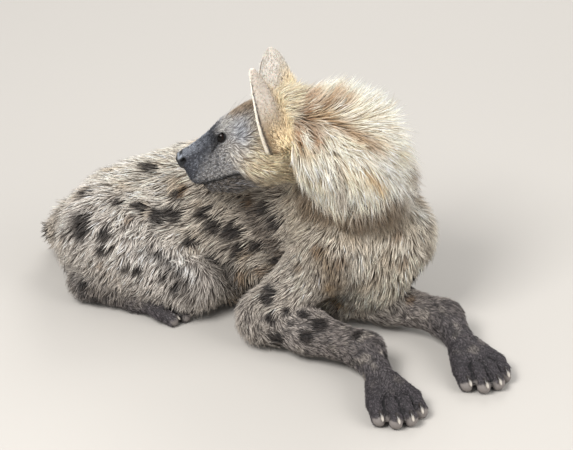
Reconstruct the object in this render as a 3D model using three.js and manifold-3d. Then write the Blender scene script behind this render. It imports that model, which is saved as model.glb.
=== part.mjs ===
// A spotted hyena of about one year, life size, lying on its chest with the head turned back over
// its shoulder. Millimetres, +Z up, the floor at z = 0. The trunk runs along X with the rump at -X,
// and the forelegs reach towards +X and -Y.
//
// The body is one smooth form: rounded muscles and limbs that melt into each other. The form is
// meshed in regions, each at the fineness that it needs, and thin cuts part it into the head, neck,
// trunk and legs. Ears, eyes, claws and the locks of the mane are shapes of their own.
import * as THREE from "three";
import { mergeVertices } from "three/addons/utils/BufferGeometryUtils.js";
import Module from "manifold-3d";

const wasm = await Module();
wasm.setup();
const { Manifold, Mesh } = wasm;

// Driving sizes
const GAP = 0.3; // clearance between neighbouring pieces
const EAR_HEIGHT = 142;
const EAR_WIDTH = 84;
const EYE_RADIUS = 11.5;
const CLAW_LENGTH = 27;

const point = (x, y, z) => new THREE.Vector3(x, y, z);
const lerp = THREE.MathUtils.lerp;
const clamp = THREE.MathUtils.clamp;

// Smooth forms
// A form is a function of a point that is negative inside and counts millimetres near its surface.

// A limb from a to b whose radius goes from ra to rb.
function limb(a, b, ra, rb) {
  const along = b.clone().sub(a);
  const length2 = along.lengthSq();
  const reach = Math.max(ra, rb);
  return {
    box: new THREE.Box3().setFromPoints([a, b]).expandByScalar(reach),
    distance(x, y, z) {
      const px = x - a.x;
      const py = y - a.y;
      const pz = z - a.z;
      const t = clamp((px * along.x + py * along.y + pz * along.z) / length2, 0, 1);
      const gap = Math.hypot(px - along.x * t, py - along.y * t, pz - along.z * t);
      return gap - lerp(ra, rb, t);
    },
  };
}

// An egg with half sizes r along the three columns of a turned frame.
function egg(centre, r, frame) {
  const [ex, ey, ez] = frame;
  const reach = Math.max(r.x, r.y, r.z);
  return {
    box: new THREE.Box3().setFromPoints([centre]).expandByScalar(reach),
    distance(x, y, z) {
      const px = x - centre.x;
      const py = y - centre.y;
      const pz = z - centre.z;
      const u = (px * ex.x + py * ex.y + pz * ex.z) / r.x;
      const v = (px * ey.x + py * ey.y + pz * ey.z) / r.y;
      const w = (px * ez.x + py * ez.y + pz * ez.z) / r.z;
      const scaled = Math.hypot(u, v, w);
      const slope = Math.hypot(u / r.x, v / r.y, w / r.z);
      return slope < 1e-9 ? -reach : (scaled * (scaled - 1)) / slope;
    },
  };
}

// Upright frame whose first axis points along the given heading, in degrees about +Z.
function heading(degrees) {
  const a = THREE.MathUtils.degToRad(degrees);
  return [
    point(Math.cos(a), Math.sin(a), 0),
    point(-Math.sin(a), Math.cos(a), 0),
    point(0, 0, 1),
  ];
}

// Joins shapes; each melts into those before it over its own blend length. A hollow is taken away.
function melt(shapes) {
  return (x, y, z) => {
    let d = 1e6;
    for (const { form, blend, hollow } of shapes) {
      const other = form.distance(x, y, z);
      const near = Math.max(blend - Math.abs(hollow ? d + other : d - other), 0) / blend;
      const soft = (near * near * blend) / 4;
      d = hollow ? Math.max(d, -other) + soft : Math.min(d, other) - soft;
    }
    return d;
  };
}

const add = (form, blend) => ({ form, blend });
const carve = (form, blend) => ({ form, blend, hollow: true });

// The trunk, from the rump at -X to the breast, which turns towards the forelegs
const TRUNK = [
  add(egg(point(-332, 112, 104), point(120, 100, 110), heading(0)), 1),
  add(egg(point(-296, 124, 146), point(100, 92, 106), heading(0)), 40),
  add(egg(point(-215, 138, 140), point(135, 106, 138), heading(0)), 60),
  add(egg(point(-110, 132, 152), point(150, 120, 158), heading(-8)), 60),
  add(egg(point(50, 75, 165), point(130, 122, 162), heading(-38)), 60),
  add(egg(point(135, 0, 175), point(105, 105, 150), heading(-65)), 60),
  add(egg(point(172, -58, 160), point(62, 72, 92), heading(-72)), 50),
  add(egg(point(-118, 96, 62), point(120, 104, 76), heading(-4)), 50),
];

// The neck rises from the breast and bends back over the shoulder to the skull
const NECK = [point(132, 0, 235), point(142, -38, 315), point(118, -50, 384), point(58, -38, 406)];
const NECK_RADII = [92, 76, 78, 80];
const NECK_FORM = [0, 1, 2].map((i) =>
  add(limb(NECK[i], NECK[i + 1], NECK_RADII[i], NECK_RADII[i + 1]), 50),
);

// Legs. Each has a shoulder or hip, an elbow or knee, a wrist or hock, and the heading of its paw.
const FORE = {
  right: {
    blade: point(62, 5, 285),
    top: point(84, -82, 192),
    middle: point(-42, -95, 54),
    end: point(147, -203, 48),
    paw: point(0.33, -0.94, 0),
  },
  left: {
    blade: point(148, 60, 275),
    top: point(212, -18, 190),
    middle: point(112, 6, 54),
    end: point(298, -88, 48),
    paw: point(0.4, -0.917, 0),
  },
};
const HIND = {
  right: {
    hip: point(-335, 78, 150),
    knee: point(-188, 8, 74),
    hock: point(-384, 54, 40),
    ball: point(-285, 24, 26),
    paw: point(0.93, -0.36, 0),
  },
  left: {
    hip: point(-322, 160, 132),
    knee: point(-192, 244, 74),
    hock: point(-374, 206, 40),
    ball: point(-284, 246, 26),
    paw: point(0.93, 0.36, 0),
  },
};

function foreleg({ blade, top, middle, end }) {
  const belly = middle.clone().lerp(end, 0.42);
  return [
    add(limb(blade, top, 48, 60), 50),
    add(limb(top, middle, 60, 50), 45),
    add(limb(middle, belly, 48, 43), 30),
    add(limb(belly, end, 43, 32), 20),
  ];
}

function hindleg({ hip, knee, hock, ball }) {
  return [
    add(limb(hip, knee, 86, 62), 45),
    add(limb(knee, hock, 50, 31), 30),
    add(limb(hock, ball, 29, 24), 20),
  ];
}

// A paw is the metacarpus and four toes that fan a little, on the floor.
const TOE_SPREAD = [-39, -13.5, 13.5, 39];
const TOE_REACH = [176, 194, 194, 176];

function toes(wrist, forward, size, behind) {
  const side = point(-forward.y, forward.x, 0);
  return TOE_SPREAD.map((spread, i) => {
    const at = (reach, share, height) =>
      wrist
        .clone()
        .setZ(height)
        .addScaledVector(forward, reach - behind)
        .addScaledVector(side, spread * share * size);
    return {
      root: at(112 * size, 0.66, 32 * size),
      knuckle: at((TOE_REACH[i] - 30) * size, 0.92, 27 * size),
      tip: at(TOE_REACH[i] * size, 1, 15 * size),
      forward,
    };
  });
}

function paw(wrist, forward, size, behind) {
  const heel = wrist.clone().addScaledVector(forward, 108 * size - behind).setZ(29 * size);
  return [
    add(limb(wrist, heel, 33 * size, 28 * size), 22),
    ...toes(wrist, forward, size, behind).flatMap(({ root, knuckle, tip }) => [
      add(limb(root, knuckle, 20 * size, 19 * size), 10),
      add(limb(knuckle, tip, 18.5 * size, 16 * size), 6),
    ]),
  ];
}

const FORE_PAW = 1;
const HIND_PAW = 0.86;
const PAWS = {
  right_fore: [FORE.right.end, FORE.right.paw, FORE_PAW, 0],
  left_fore: [FORE.left.end, FORE.left.paw, FORE_PAW, 0],
  right_hind: [HIND.right.ball, HIND.right.paw, HIND_PAW, 66],
  left_hind: [HIND.left.ball, HIND.left.paw, HIND_PAW, 66],
};

// The head has its own frame: forward to the nose, left, and up, from the back of the skull.
const SKULL = point(0, -15, 448);
const HEAD_FORWARD = point(-0.88, 0.118, -0.46).normalize();
const HEAD_LEFT = point(-0.22, -0.962, 0.174)
  .addScaledVector(HEAD_FORWARD, -point(-0.22, -0.962, 0.174).dot(HEAD_FORWARD))
  .normalize();
const HEAD_UP = HEAD_FORWARD.clone().cross(HEAD_LEFT);
const HEAD_FRAME = [HEAD_FORWARD, HEAD_LEFT, HEAD_UP];

function onHead(forward, left, up) {
  return SKULL.clone()
    .addScaledVector(HEAD_FORWARD, forward)
    .addScaledVector(HEAD_LEFT, left)
    .addScaledVector(HEAD_UP, up);
}

const EYE = { forward: 122, left: 40, up: 14 };
const bothSides = (make) => [1, -1].flatMap((side) => make(side));

const HEAD = [
  add(egg(onHead(48, 0, -12), point(78, 66, 60), HEAD_FRAME), 40),
  add(egg(onHead(98, 0, 2), point(52, 47, 36), HEAD_FRAME), 25),
  ...bothSides((s) => [add(egg(onHead(66, s * 44, -42), point(62, 34, 52), HEAD_FRAME), 25)]),
  add(limb(onHead(118, 0, -18), onHead(204, 0, -24), 38, 27), 25),
  add(limb(onHead(122, 0, 8), onHead(218, 0, -10), 20, 15), 18),
  add(egg(onHead(226, 0, -18), point(13, 19, 16), HEAD_FRAME), 10),
  ...bothSides((s) => [add(limb(onHead(128, s * 26, -46), onHead(204, s * 13, -44), 23, 19), 12)]),
  add(limb(onHead(50, 0, -78), onHead(150, 0, -74), 44, 26), 22),
  add(limb(onHead(150, 0, -74), onHead(188, 0, -70), 25, 17), 12),
  ...bothSides((s) => [
    add(egg(onHead(EYE.forward - 6, s * 37, 24), point(24, 13, 9), HEAD_FRAME), 10),
    carve(egg(onHead(EYE.forward + 4, s * 50, EYE.up), point(14, 12, 10), HEAD_FRAME), 8),
  ]),
];

const TAIL = [
  point(-415, 150, 135),
  point(-440, 196, 78),
  point(-436, 246, 38),
  point(-392, 296, 31),
  point(-330, 330, 30),
];
const TAIL_RADII = [36, 30, 27, 27, 20];
const TAIL_FORM = [0, 1, 2, 3].map((i) =>
  add(limb(TAIL[i], TAIL[i + 1], TAIL_RADII[i], TAIL_RADII[i + 1]), 20),
);

const LEGS = [
  ...foreleg(FORE.right),
  ...foreleg(FORE.left),
  ...hindleg(HIND.right),
  ...hindleg(HIND.left),
  ...Object.values(PAWS).flatMap((p) => paw(...p)),
];
const TRUNK_AND_LEGS = melt([...TRUNK, NECK_FORM[0], ...LEGS]);
const WHOLE = melt([...TRUNK, ...NECK_FORM, ...LEGS, ...HEAD]);
const NECK_AND_HEAD = melt([NECK_FORM[2], ...HEAD]);
const LEGS_ALONE = melt(LEGS);

// Meshing
// A cube's twelve lines, each by its axis and by where it starts on the two other axes.
const LINES = [0, 1, 2].flatMap((axis) =>
  [0, 1, 2, 3].map((n) => {
    const start = [0, 0, 0];
    start[(axis + 1) % 3] = n & 1;
    start[(axis + 2) % 3] = n >> 1;
    return { axis, start, end: start.map((s, m) => (m === axis ? 1 : s)) };
  }),
);
const cornerBit = ([x, y, z]) => 1 << (x + 2 * y + 4 * z);
const FACES = [0, 1, 2].flatMap((axis) =>
  [0, 1].map((side) =>
    LINES.map((line, n) => ({ ...line, n })).filter(
      (line) => line.axis !== axis && line.start[axis] === side,
    ),
  ),
);

// Which sheet of the surface each crossed line of a cube belongs to, for its inside corners. On a
// face with four crossings the two that meet at an inside corner belong together.
const sheetsOf = [];
function sheets(inside) {
  if (sheetsOf[inside]) return sheetsOf[inside];
  const isIn = (corner) => (inside & cornerBit(corner)) !== 0;
  const sheet = LINES.map((line, n) => (isIn(line.start) === isIn(line.end) ? -1 : n));
  const join = (a, b) => {
    const [from, to] = [sheet[a], sheet[b]];
    sheet.forEach((s, n) => {
      if (s === from) sheet[n] = to;
    });
  };
  for (const face of FACES) {
    const crossed = face.filter((line) => sheet[line.n] >= 0);
    const innerEnd = (line) => cornerBit(isIn(line.start) ? line.start : line.end);
    for (const a of crossed)
      for (const b of crossed)
        if (a.n < b.n && (crossed.length === 2 || innerEnd(a) === innerEnd(b))) join(a.n, b.n);
  }
  sheetsOf[inside] = sheet;
  return sheet;
}

// The surface of a form in a box: each cube of the grid has one vertex for each sheet that passes
// through it, and each crossed line has one square between the four cubes around it.
function surface(form, box, cell, offset = 0) {
  const size = box.getSize(point(0, 0, 0)).divideScalar(cell);
  const count = size.toArray().map((s) => Math.ceil(s) + 1);
  const at = (p) => (p[0] * count[1] + p[1]) * count[2] + p[2];
  const place = (p) => box.min.clone().add(point(...p).multiplyScalar(cell));
  const grid = [];
  for (let i = 0; i < count[0]; i++)
    for (let j = 0; j < count[1]; j++) for (let k = 0; k < count[2]; k++) grid.push([i, j, k]);
  const onBox = (p) => p.some((n, m) => n === 0 || n === count[m] - 1);
  const value = grid.map((p) => (onBox(p) ? cell : form(...place(p).toArray()) - offset));
  const plus = (p, q) => [p[0] + q[0], p[1] + q[1], p[2] + q[2]];

  const vertexOf = new Map();
  const positions = [];
  for (const p of grid) {
    if (p.some((n, m) => n >= count[m] - 1)) continue;
    let inside = 0;
    for (let c = 0; c < 8; c++) {
      const corner = [c & 1, (c >> 1) & 1, c >> 2];
      if (value[at(plus(p, corner))] < 0) inside |= 1 << c;
    }
    if (inside === 0 || inside === 255) continue;
    const sheet = sheets(inside);
    for (const s of new Set(sheet.filter((n) => n >= 0))) {
      const mine = LINES.filter((line, n) => sheet[n] === s);
      const middle = [0, 0, 0];
      for (const { axis, start, end } of mine) {
        const [va, vb] = [value[at(plus(p, start))], value[at(plus(p, end))]];
        const crossing = start.map((n, m) => (m === axis ? va / (va - vb) : n));
        crossing.forEach((n, m) => (middle[m] += n / mine.length));
      }
      LINES.forEach((line, n) => {
        if (sheet[n] === s) vertexOf.set(at(p) * 12 + n, positions.length / 3);
      });
      positions.push(...onSurface(form, place(plus(p, middle)), offset, cell));
    }
  }

  const faces = [];
  for (const p of grid) {
    const inside = value[at(p)] < 0;
    for (const axis of [0, 1, 2]) {
      const end = p.map((n, m) => n + (m === axis ? 1 : 0));
      if (p.some((n, m) => m !== axis && n < 1) || end[axis] >= count[axis]) continue;
      if (end.some((n, m) => n >= count[m] - (m === axis ? 0 : 1))) continue;
      if (inside === value[at(end)] < 0) continue;
      const [u, v] = [(axis + 1) % 3, (axis + 2) % 3];
      const corner = (du, dv) => {
        const cube = [...p];
        cube[u] -= du;
        cube[v] -= dv;
        return vertexOf.get(at(cube) * 12 + axis * 4 + du + 2 * dv);
      };
      const [a, b, c, d] = [corner(1, 1), corner(0, 1), corner(0, 0), corner(1, 0)];
      faces.push(...(inside ? [a, b, c, a, c, d] : [a, c, b, a, d, c]));
    }
  }
  return new THREE.BufferGeometry()
    .setAttribute("position", new THREE.Float32BufferAttribute(positions, 3))
    .setIndex(faces);
}

function slopeOf(form, p) {
  const h = 0.5;
  return point(
    form(p.x + h, p.y, p.z) - form(p.x - h, p.y, p.z),
    form(p.x, p.y + h, p.z) - form(p.x, p.y - h, p.z),
    form(p.x, p.y, p.z + h) - form(p.x, p.y, p.z - h),
  ).divideScalar(2 * h);
}

// Moves p along the form's slope until it lies on the surface, within a share of a cell.
function onSurface(form, p, offset, cell) {
  const start = p.clone();
  for (let step = 0; step < 3; step++) {
    const slope = slopeOf(form, p);
    const away = (form(p.x, p.y, p.z) - offset) / Math.max(slope.lengthSq(), 0.2);
    p.addScaledVector(slope, -away);
  }
  const moved = p.sub(start).clampLength(0, 0.3 * cell);
  return start.add(moved).toArray();
}

// Joining and cutting
function solid(geometry) {
  const bare = geometry.clone();
  bare.deleteAttribute("normal");
  bare.deleteAttribute("uv");
  const merged = mergeVertices(bare, 1e-3);
  return new Manifold(
    new Mesh({
      numProp: 3,
      vertProperties: merged.attributes.position.array,
      triVerts: new Uint32Array(merged.index.array),
    }),
  );
}

function largest(made) {
  return made.decompose().sort((a, b) => b.volume() - a.volume())[0];
}

// The same solid moved by a step.
function moved(made, step) {
  const mesh = made.getMesh();
  const geometry = new THREE.BufferGeometry()
    .setAttribute("position", new THREE.BufferAttribute(mesh.vertProperties.slice(), 3))
    .setIndex(new THREE.BufferAttribute(mesh.triVerts.slice(), 1));
  return solid(geometry.translate(step.x, step.y, step.z));
}

// Cuts a neighbour away with the gap, by taking it away at six places a small step apart.
const STEPS = [0, 1, 2].flatMap((axis) => [GAP, -GAP].map((s) => point(0, 0, 0).setComponent(axis, s)));
const clearOf = (made, ...others) =>
  others.reduce((rest, other) => STEPS.reduce((r, step) => r.subtract(moved(other, step)), rest), made);

// A block from near to far along its first axis, from a point on its middle line.
function block({ start, along, from, to, wide, high, up = point(0, 0, 1) }, grow = 0) {
  const x = along.clone().normalize();
  const y = up.clone().cross(x).normalize();
  const z = x.clone().cross(y);
  const geometry = new THREE.BoxGeometry(to - from + 2 * grow, wide + 2 * grow, high + 2 * grow);
  geometry.translate((from + to) / 2, 0, 0);
  geometry.applyMatrix4(new THREE.Matrix4().makeBasis(x, y, z));
  geometry.translate(start.x, start.y, start.z);
  return solid(geometry);
}

// A closed skin over rings of points that all have the same even count. Each end is closed by
// joining the first half of the ring to the second, and the skin is turned so that it faces out.
function loft(rings) {
  const n = rings[0].length;
  const faces = [];
  const quad = (a, b, c, d) => faces.push(a, b, c, a, c, d);
  for (let r = 0; r < rings.length - 1; r++)
    for (let i = 0; i < n; i++) {
      const next = (i + 1) % n;
      quad(r * n + i, r * n + next, (r + 1) * n + next, (r + 1) * n + i);
    }
  const last = (rings.length - 1) * n;
  for (let i = 0; i < n / 2 - 1; i++) {
    quad(n - 1 - i, n - 2 - i, i + 1, i);
    quad(last + i, last + i + 1, last + n - 2 - i, last + n - 1 - i);
  }
  const geometry = new THREE.BufferGeometry()
    .setAttribute("position", new THREE.Float32BufferAttribute(rings.flat().flatMap((p) => p.toArray()), 3))
    .setIndex(faces);
  const made = solid(geometry);
  return made.volume() > 0 ? made : solid(geometry.setIndex(faces.reverse()));
}

// A ball, stretched along the axes of a frame.
function ball(centre, radii, frame = heading(0), around = 14) {
  const geometry = new THREE.SphereGeometry(1, around, around * 0.7);
  geometry.scale(radii.x, radii.y, radii.z);
  geometry.applyMatrix4(new THREE.Matrix4().makeBasis(...frame));
  geometry.translate(centre.x, centre.y, centre.z);
  return solid(geometry);
}

const gridBox = (low, high) => new THREE.Box3(point(...low), point(...high));
const FLOOR = { start: point(0, 0, 500), along: point(1, 0, 0), from: -900, to: 900, wide: 1800, high: 1000 };
const aboveFloor = block(FLOOR);
const meshed = (form, box, cell) => solid(surface(form, box, cell)).intersect(aboveFloor);

// Cuts. Each is a block that takes a limb, the neck or the head off the whole form.
const legAxis = ({ middle, end }) => end.clone().sub(middle).setZ(0).normalize();
const forearmCut = (leg) => ({
  start: leg.middle.clone().setZ(40),
  along: legAxis(leg),
  from: 34,
  to: 460,
  wide: 150,
  high: 126,
});
const pawCut = (leg) => ({
  start: leg.end.clone().setZ(40),
  along: legAxis(leg).add(leg.paw),
  from: 6,
  to: 300,
  wide: 220,
  high: 160,
});
const upperArmCut = (leg, outward) => ({
  start: leg.middle.clone().addScaledVector(outward, 42),
  along: leg.top.clone().sub(leg.middle),
  from: -78,
  to: 232,
  wide: 158,
  high: 124,
  up: outward,
});
const hindFootCut = (leg, back) => ({
  start: leg.ball.clone().lerp(leg.hock, 0.2),
  along: leg.paw,
  from: back,
  to: 190,
  wide: 130,
  high: 64,
});
const onHeadCut = (up, from, wide, high) => ({
  start: onHead(0, 0, up),
  along: HEAD_FORWARD,
  from,
  to: 300,
  wide,
  high,
  up: HEAD_UP,
});
const thighCut = (hip, outward) => ({
  start: hip,
  along: outward,
  from: 0,
  to: 170,
  wide: 336,
  high: 262,
});
const CUTS = {
  head: onHeadCut(-12, 6, 240, 208),
  face: onHeadCut(-12, 92, 240, 208),
  jaw: onHeadCut(-116, 128, 200, 104),
  nose: onHeadCut(-16, 219, 60, 40),
  neck: { start: point(150, -18, 312), along: point(0.14, -0.42, 0.9), from: 0, to: 340, wide: 420, high: 460 },
  chest: { start: point(-45, 120, 150), along: point(0.95, -0.3, 0), from: 0, to: 420, wide: 500, high: 700 },
  belly: { start: point(-235, 140, 150), along: point(1, 0, 0), from: 0, to: 420, wide: 500, high: 700 },
  right_upper_arm: upperArmCut(FORE.right, point(0.1, -0.99, 0)),
  left_upper_arm: upperArmCut(FORE.left, point(0.85, 0.45, -0.2)),
  right_forearm: forearmCut(FORE.right),
  left_forearm: forearmCut(FORE.left),
  right_forepaw: pawCut(FORE.right),
  left_forepaw: pawCut(FORE.left),
  right_thigh: thighCut(point(-255, 72, 106), point(-0.25, -0.97, 0)),
  left_thigh: thighCut(point(-255, 178, 106), point(-0.25, 0.97, 0)),
  right_hind_foot: hindFootCut(HIND.right, -120),
  left_hind_foot: hindFootCut(HIND.left, -120),
};

const cut = (name) => block(CUTS[name]);
const cutWithGap = (name) => block(CUTS[name], GAP);
const without = (made, ...names) => names.reduce((rest, name) => rest.subtract(cutWithGap(name)), made);

const group = new THREE.Group();
const LOOKS = {
  fur: { color: 0xb6a48a, roughness: 0.95, metalness: 0 },
  mane: { color: 0xd8c49c, roughness: 0.95, metalness: 0 },
  dark_fur: { color: 0x4a433e, roughness: 0.9, metalness: 0 },
  muzzle: { color: 0x2e2c2d, roughness: 0.7, metalness: 0 },
  nose_skin: { color: 0x1b1a1b, roughness: 0.45, metalness: 0 },
  claw: { color: 0x77706a, roughness: 0.45, metalness: 0 },
  eye: { color: 0x1a120d, roughness: 0.1, metalness: 0 },
};

function show(name, made, look) {
  const mesh = made.getMesh();
  const geometry = new THREE.BufferGeometry()
    .setAttribute("position", new THREE.BufferAttribute(mesh.vertProperties, 3))
    .setIndex(new THREE.BufferAttribute(mesh.triVerts, 1));
  const shown = new THREE.Mesh(geometry, new THREE.MeshStandardMaterial(LOOKS[look]));
  shown.name = name;
  group.add(shown);
}

// Fineness of the mesh, in millimetres, for each region
const CELL = { trunk: 38, neck: 31, skull: 18.5, face: 12.4, forearm: 22, forepaw: 13.2, hind_foot: 19, tail: 24 };

// The back of the head
const HEAD_BOX = gridBox([-280, -190, 230], [140, 190, 600]);
const skull = largest(without(meshed(NECK_AND_HEAD, HEAD_BOX, CELL.skull).intersect(cut("head")), "face"));
show("head", skull, "fur");

// Trunk, thighs and upper arms
const TRUNK_BOX = gridBox([-520, -280, -60], [420, 420, 440]);
const trunk = meshed(TRUNK_AND_LEGS, TRUNK_BOX, CELL.trunk);
const LEG_CUTS = [
  "right_forearm",
  "left_forearm",
  "right_upper_arm",
  "left_upper_arm",
  "right_hind_foot",
  "left_hind_foot",
  "right_thigh",
  "left_thigh",
];
const torso = clearOf(without(trunk, "neck", ...LEG_CUTS), skull);
show("chest", largest(torso.intersect(cut("chest"))), "fur");
show("belly", largest(without(torso, "chest").intersect(cut("belly"))), "fur");
show("rump", largest(without(torso, "chest", "belly")), "fur");
for (const side of ["right", "left"]) {
  const arm = without(trunk, "neck", `${side}_forearm`).intersect(cut(`${side}_upper_arm`));
  show(`${side}_upper_arm`, largest(arm), "fur");
  const thigh = without(trunk, `${side}_hind_foot`).intersect(cut(`${side}_thigh`));
  show(`${side}_thigh`, largest(thigh), "fur");
}

// Forearms and feet
const FORELEG_BOX = { right: [[-120, -450, -50], [260, -20, 190]], left: [[60, -320, -50], [430, 90, 190]] };
const HINDLEG_BOX = { right: [[-460, -90, -50], [-130, 140, 120]], left: [[-460, 130, -50], [-130, 360, 120]] };
const feet = {};
for (const side of ["right", "left"]) {
  const foreleg = meshed(LEGS_ALONE, gridBox(...FORELEG_BOX[side]), CELL.forearm);
  const forearm = without(foreleg, `${side}_forepaw`).intersect(cut(`${side}_forearm`));
  show(`${side}_forearm`, largest(forearm), "dark_fur");
  const paws = meshed(LEGS_ALONE, gridBox(...FORELEG_BOX[side]), CELL.forepaw);
  feet[`${side}_fore`] = largest(paws.intersect(cut(`${side}_forepaw`)));
  show(`${side}_forepaw`, feet[`${side}_fore`], "dark_fur");
  const hind = meshed(LEGS_ALONE, gridBox(...HINDLEG_BOX[side]), CELL.hind_foot);
  feet[`${side}_hind`] = largest(hind.intersect(cut(`${side}_hind_foot`)));
  show(`${side}_hind_foot`, feet[`${side}_hind`], "dark_fur");
}

// Claws: blunt horn cones that leave the top of each toe and curve down
const CLAW_SIDES = 6;
const CLAW_RADII = [4.4, 3.4, 1];
function claw({ tip, forward }, size) {
  const length = CLAW_LENGTH * size;
  const side = point(-forward.y, forward.x, 0);
  const rings = CLAW_RADII.map((radius, i) => {
    const t = i / (CLAW_RADII.length - 1);
    const centre = tip
      .clone()
      .addScaledVector(forward, lerp(4, length, t))
      .add(point(0, 0, 8 * size - 13 * size * t * t));
    return Array.from({ length: CLAW_SIDES }, (_, k) => {
      const a = (2 * Math.PI * (k + 0.5)) / CLAW_SIDES;
      return centre
        .clone()
        .addScaledVector(side, Math.cos(a) * radius * 0.8)
        .add(point(0, 0, Math.sin(a) * radius));
    });
  });
  return loft(rings);
}
for (const [foot, [wrist, forward, size, behind]] of Object.entries(PAWS)) {
  toes(wrist, forward, size, behind).forEach((toe, i) => {
    show(`claw_${foot}_${i + 1}`, largest(clearOf(claw(toe, size), feet[foot])), "claw");
  });
}

// Core of the neck, under the mane
const NECK_BOX = gridBox([-80, -240, 150], [320, 200, 560]);
const neckWhole = meshed(WHOLE, NECK_BOX, CELL.neck).intersect(cut("neck"));
const neckCore = largest(clearOf(without(neckWhole, "head"), skull, trunk));

// Eyes sit in sockets of the face, under lids that leave an opening like an almond
const LID = 2.6;
const OPENING = { front: 15, back: 13, top: 8, bottom: 6.5 };
const eyeAt = (side) => onHead(EYE.forward, side * (EYE.left - 4), EYE.up);
const eyeBall = (side, grow) =>
  ball(eyeAt(side), point(1, 1, 1).multiplyScalar(EYE_RADIUS + grow), HEAD_FRAME, 12);
function lidOpening(side) {
  const outline = Array.from({ length: 12 }, (_, k) => {
    const a = (2 * Math.PI * (k + 0.5)) / 12;
    const [c, s] = [Math.cos(a), Math.sin(a)];
    return [c * (c > 0 ? OPENING.front : OPENING.back), s * (s > 0 ? OPENING.top : OPENING.bottom)];
  });
  const ring = (left) =>
    outline.map(([f, u]) => onHead(EYE.forward + f, side * (EYE.left + left), EYE.up + u * (1 - Math.abs(f) / 24)));
  return loft([ring(2), ring(40)]);
}

// The mouth is a groove from under the nose back to its corner; a nostril is a comma
const MOUTH = [
  [206, 1],
  [196, 17],
  [176, 27],
  [152, 33],
  [128, 41],
];
const MOUTH_UP = -64;
function mouthGroove(side) {
  const rings = MOUTH.map(([forward, left], i) => {
    const half = i === MOUTH.length - 1 ? 1 : 2.4;
    return [
      onHead(forward, side * (left - 6), MOUTH_UP - half),
      onHead(forward, side * (left + 9), MOUTH_UP - half),
      onHead(forward, side * (left + 9), MOUTH_UP + half),
      onHead(forward, side * (left - 6), MOUTH_UP + half),
    ];
  });
  return loft(rings);
}
const nostril = (side) => ball(onHead(237, side * 11, -17), point(8, 4, 5), HEAD_FRAME, 7);

let face = meshed(NECK_AND_HEAD, HEAD_BOX, CELL.face).intersect(cut("face"));
for (const side of [1, -1]) {
  face = face.add(eyeBall(side, LID).subtract(lidOpening(side)));
  face = face.subtract(eyeBall(side, GAP)).subtract(nostril(side)).subtract(mouthGroove(side));
}
face = face.intersect(cut("face"));
show("face", largest(without(face, "jaw", "nose")), "muzzle");
show("jaw", largest(face.intersect(cut("jaw"))), "muzzle");
show("nose", largest(face.intersect(cut("nose"))), "nose_skin");
show("left_eye", eyeBall(1, 0), "eye");
show("right_eye", eyeBall(-1, 0), "eye");

// Ears: a cupped shell with a round top. The left one opens forward, the right one outward.
const EAR_ROWS = 8;
const EAR_COLUMNS = 6;
const EAR_BEND = 1.35;
const EAR_DEPTH = 54;
const EAR_WALL = 4.5;
const EAR_OPENS = { 1: [0.97, -0.25], "-1": [0.45, 0.89] };
function ear(side) {
  const base = onHead(36, side * 54, -24);
  const axis = onHead(-0.28, side * 0.1, 0.95).sub(SKULL).normalize();
  const [forward, outward] = EAR_OPENS[side];
  const open = onHead(forward, side * outward, 0).sub(SKULL);
  open.addScaledVector(axis, -open.dot(axis)).normalize();
  const across = axis.clone().cross(open);
  const at = (v, u, wall) => {
    const spread = 0.7 + 0.3 * Math.sin(Math.min(v / 0.45, 1) * Math.PI * 0.5);
    const half = (EAR_WIDTH / 2 - wall) * spread * Math.sqrt(1 - v ** 2.2) + 1.5;
    const depth = (EAR_DEPTH - wall) * (1 - 0.75 * v);
    const a = u * EAR_BEND;
    return base
      .clone()
      .addScaledVector(axis, (EAR_HEIGHT - wall) * v)
      .addScaledVector(across, (half * Math.sin(a)) / Math.sin(EAR_BEND))
      .addScaledVector(open, 8 * v * v - depth * (Math.cos(a) - Math.cos(EAR_BEND)));
  };
  const columns = Array.from({ length: EAR_COLUMNS }, (_, i) => (2 * i) / (EAR_COLUMNS - 1) - 1);
  const rings = Array.from({ length: EAR_ROWS }, (_, r) => {
    const v = r / (EAR_ROWS - 1);
    const outer = columns.map((u) => at(v, u, 0));
    const inner = columns.map((u) => at(v, -u, EAR_WALL));
    return [...outer, ...inner];
  });
  return loft(rings);
}
const ears = [1, -1].map((side) => largest(clearOf(ear(side), skull, neckCore)));
show("left_ear", ears[0], "fur");
show("right_ear", ears[1], "fur");

// A lock of long hair: flat, thickest near its root, which is sunk in what it grows from. It
// leaves the skin along the normal and bends over to lie along the coat.
let seed = 20771;
function vary(share) {
  seed = (seed * 48271) % 2147483647;
  return 1 + share * ((2 * seed) / 2147483647 - 1);
}
const LOCK = { along: [-0.04, 0.45, 1], rise: [0, 0.76, 1], width: [0.9, 1, 0.14], thick: [1, 0.8, 0.2] };
const SUNK = 15;
function lock({ root, normal, lie, length, height, width, thickness }) {
  const across = normal.clone().cross(lie).normalize();
  const rings = LOCK.along.map((along, i) => {
    const up = lerp(-SUNK, height, LOCK.rise[i]);
    const centre = root.clone().addScaledVector(lie, length * along).addScaledVector(normal, up);
    const half = (width * LOCK.width[i]) / 2;
    const deep = (thickness * LOCK.thick[i]) / 2;
    return [
      centre.clone().addScaledVector(across, -half),
      centre.clone().addScaledVector(normal, -deep),
      centre.clone().addScaledVector(across, half),
      centre.clone().addScaledVector(normal, deep),
    ];
  });
  return loft(rings);
}

// Where a ray from inside a form leaves it
function leaves(form, from, direction, reach) {
  let [near, far] = [0, reach];
  for (let step = 0; step < 24; step++) {
    const mid = (near + far) / 2;
    const p = from.clone().addScaledVector(direction, mid);
    if (form(p.x, p.y, p.z) < 0) near = mid;
    else far = mid;
  }
  return from.clone().addScaledVector(direction, near);
}

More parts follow.
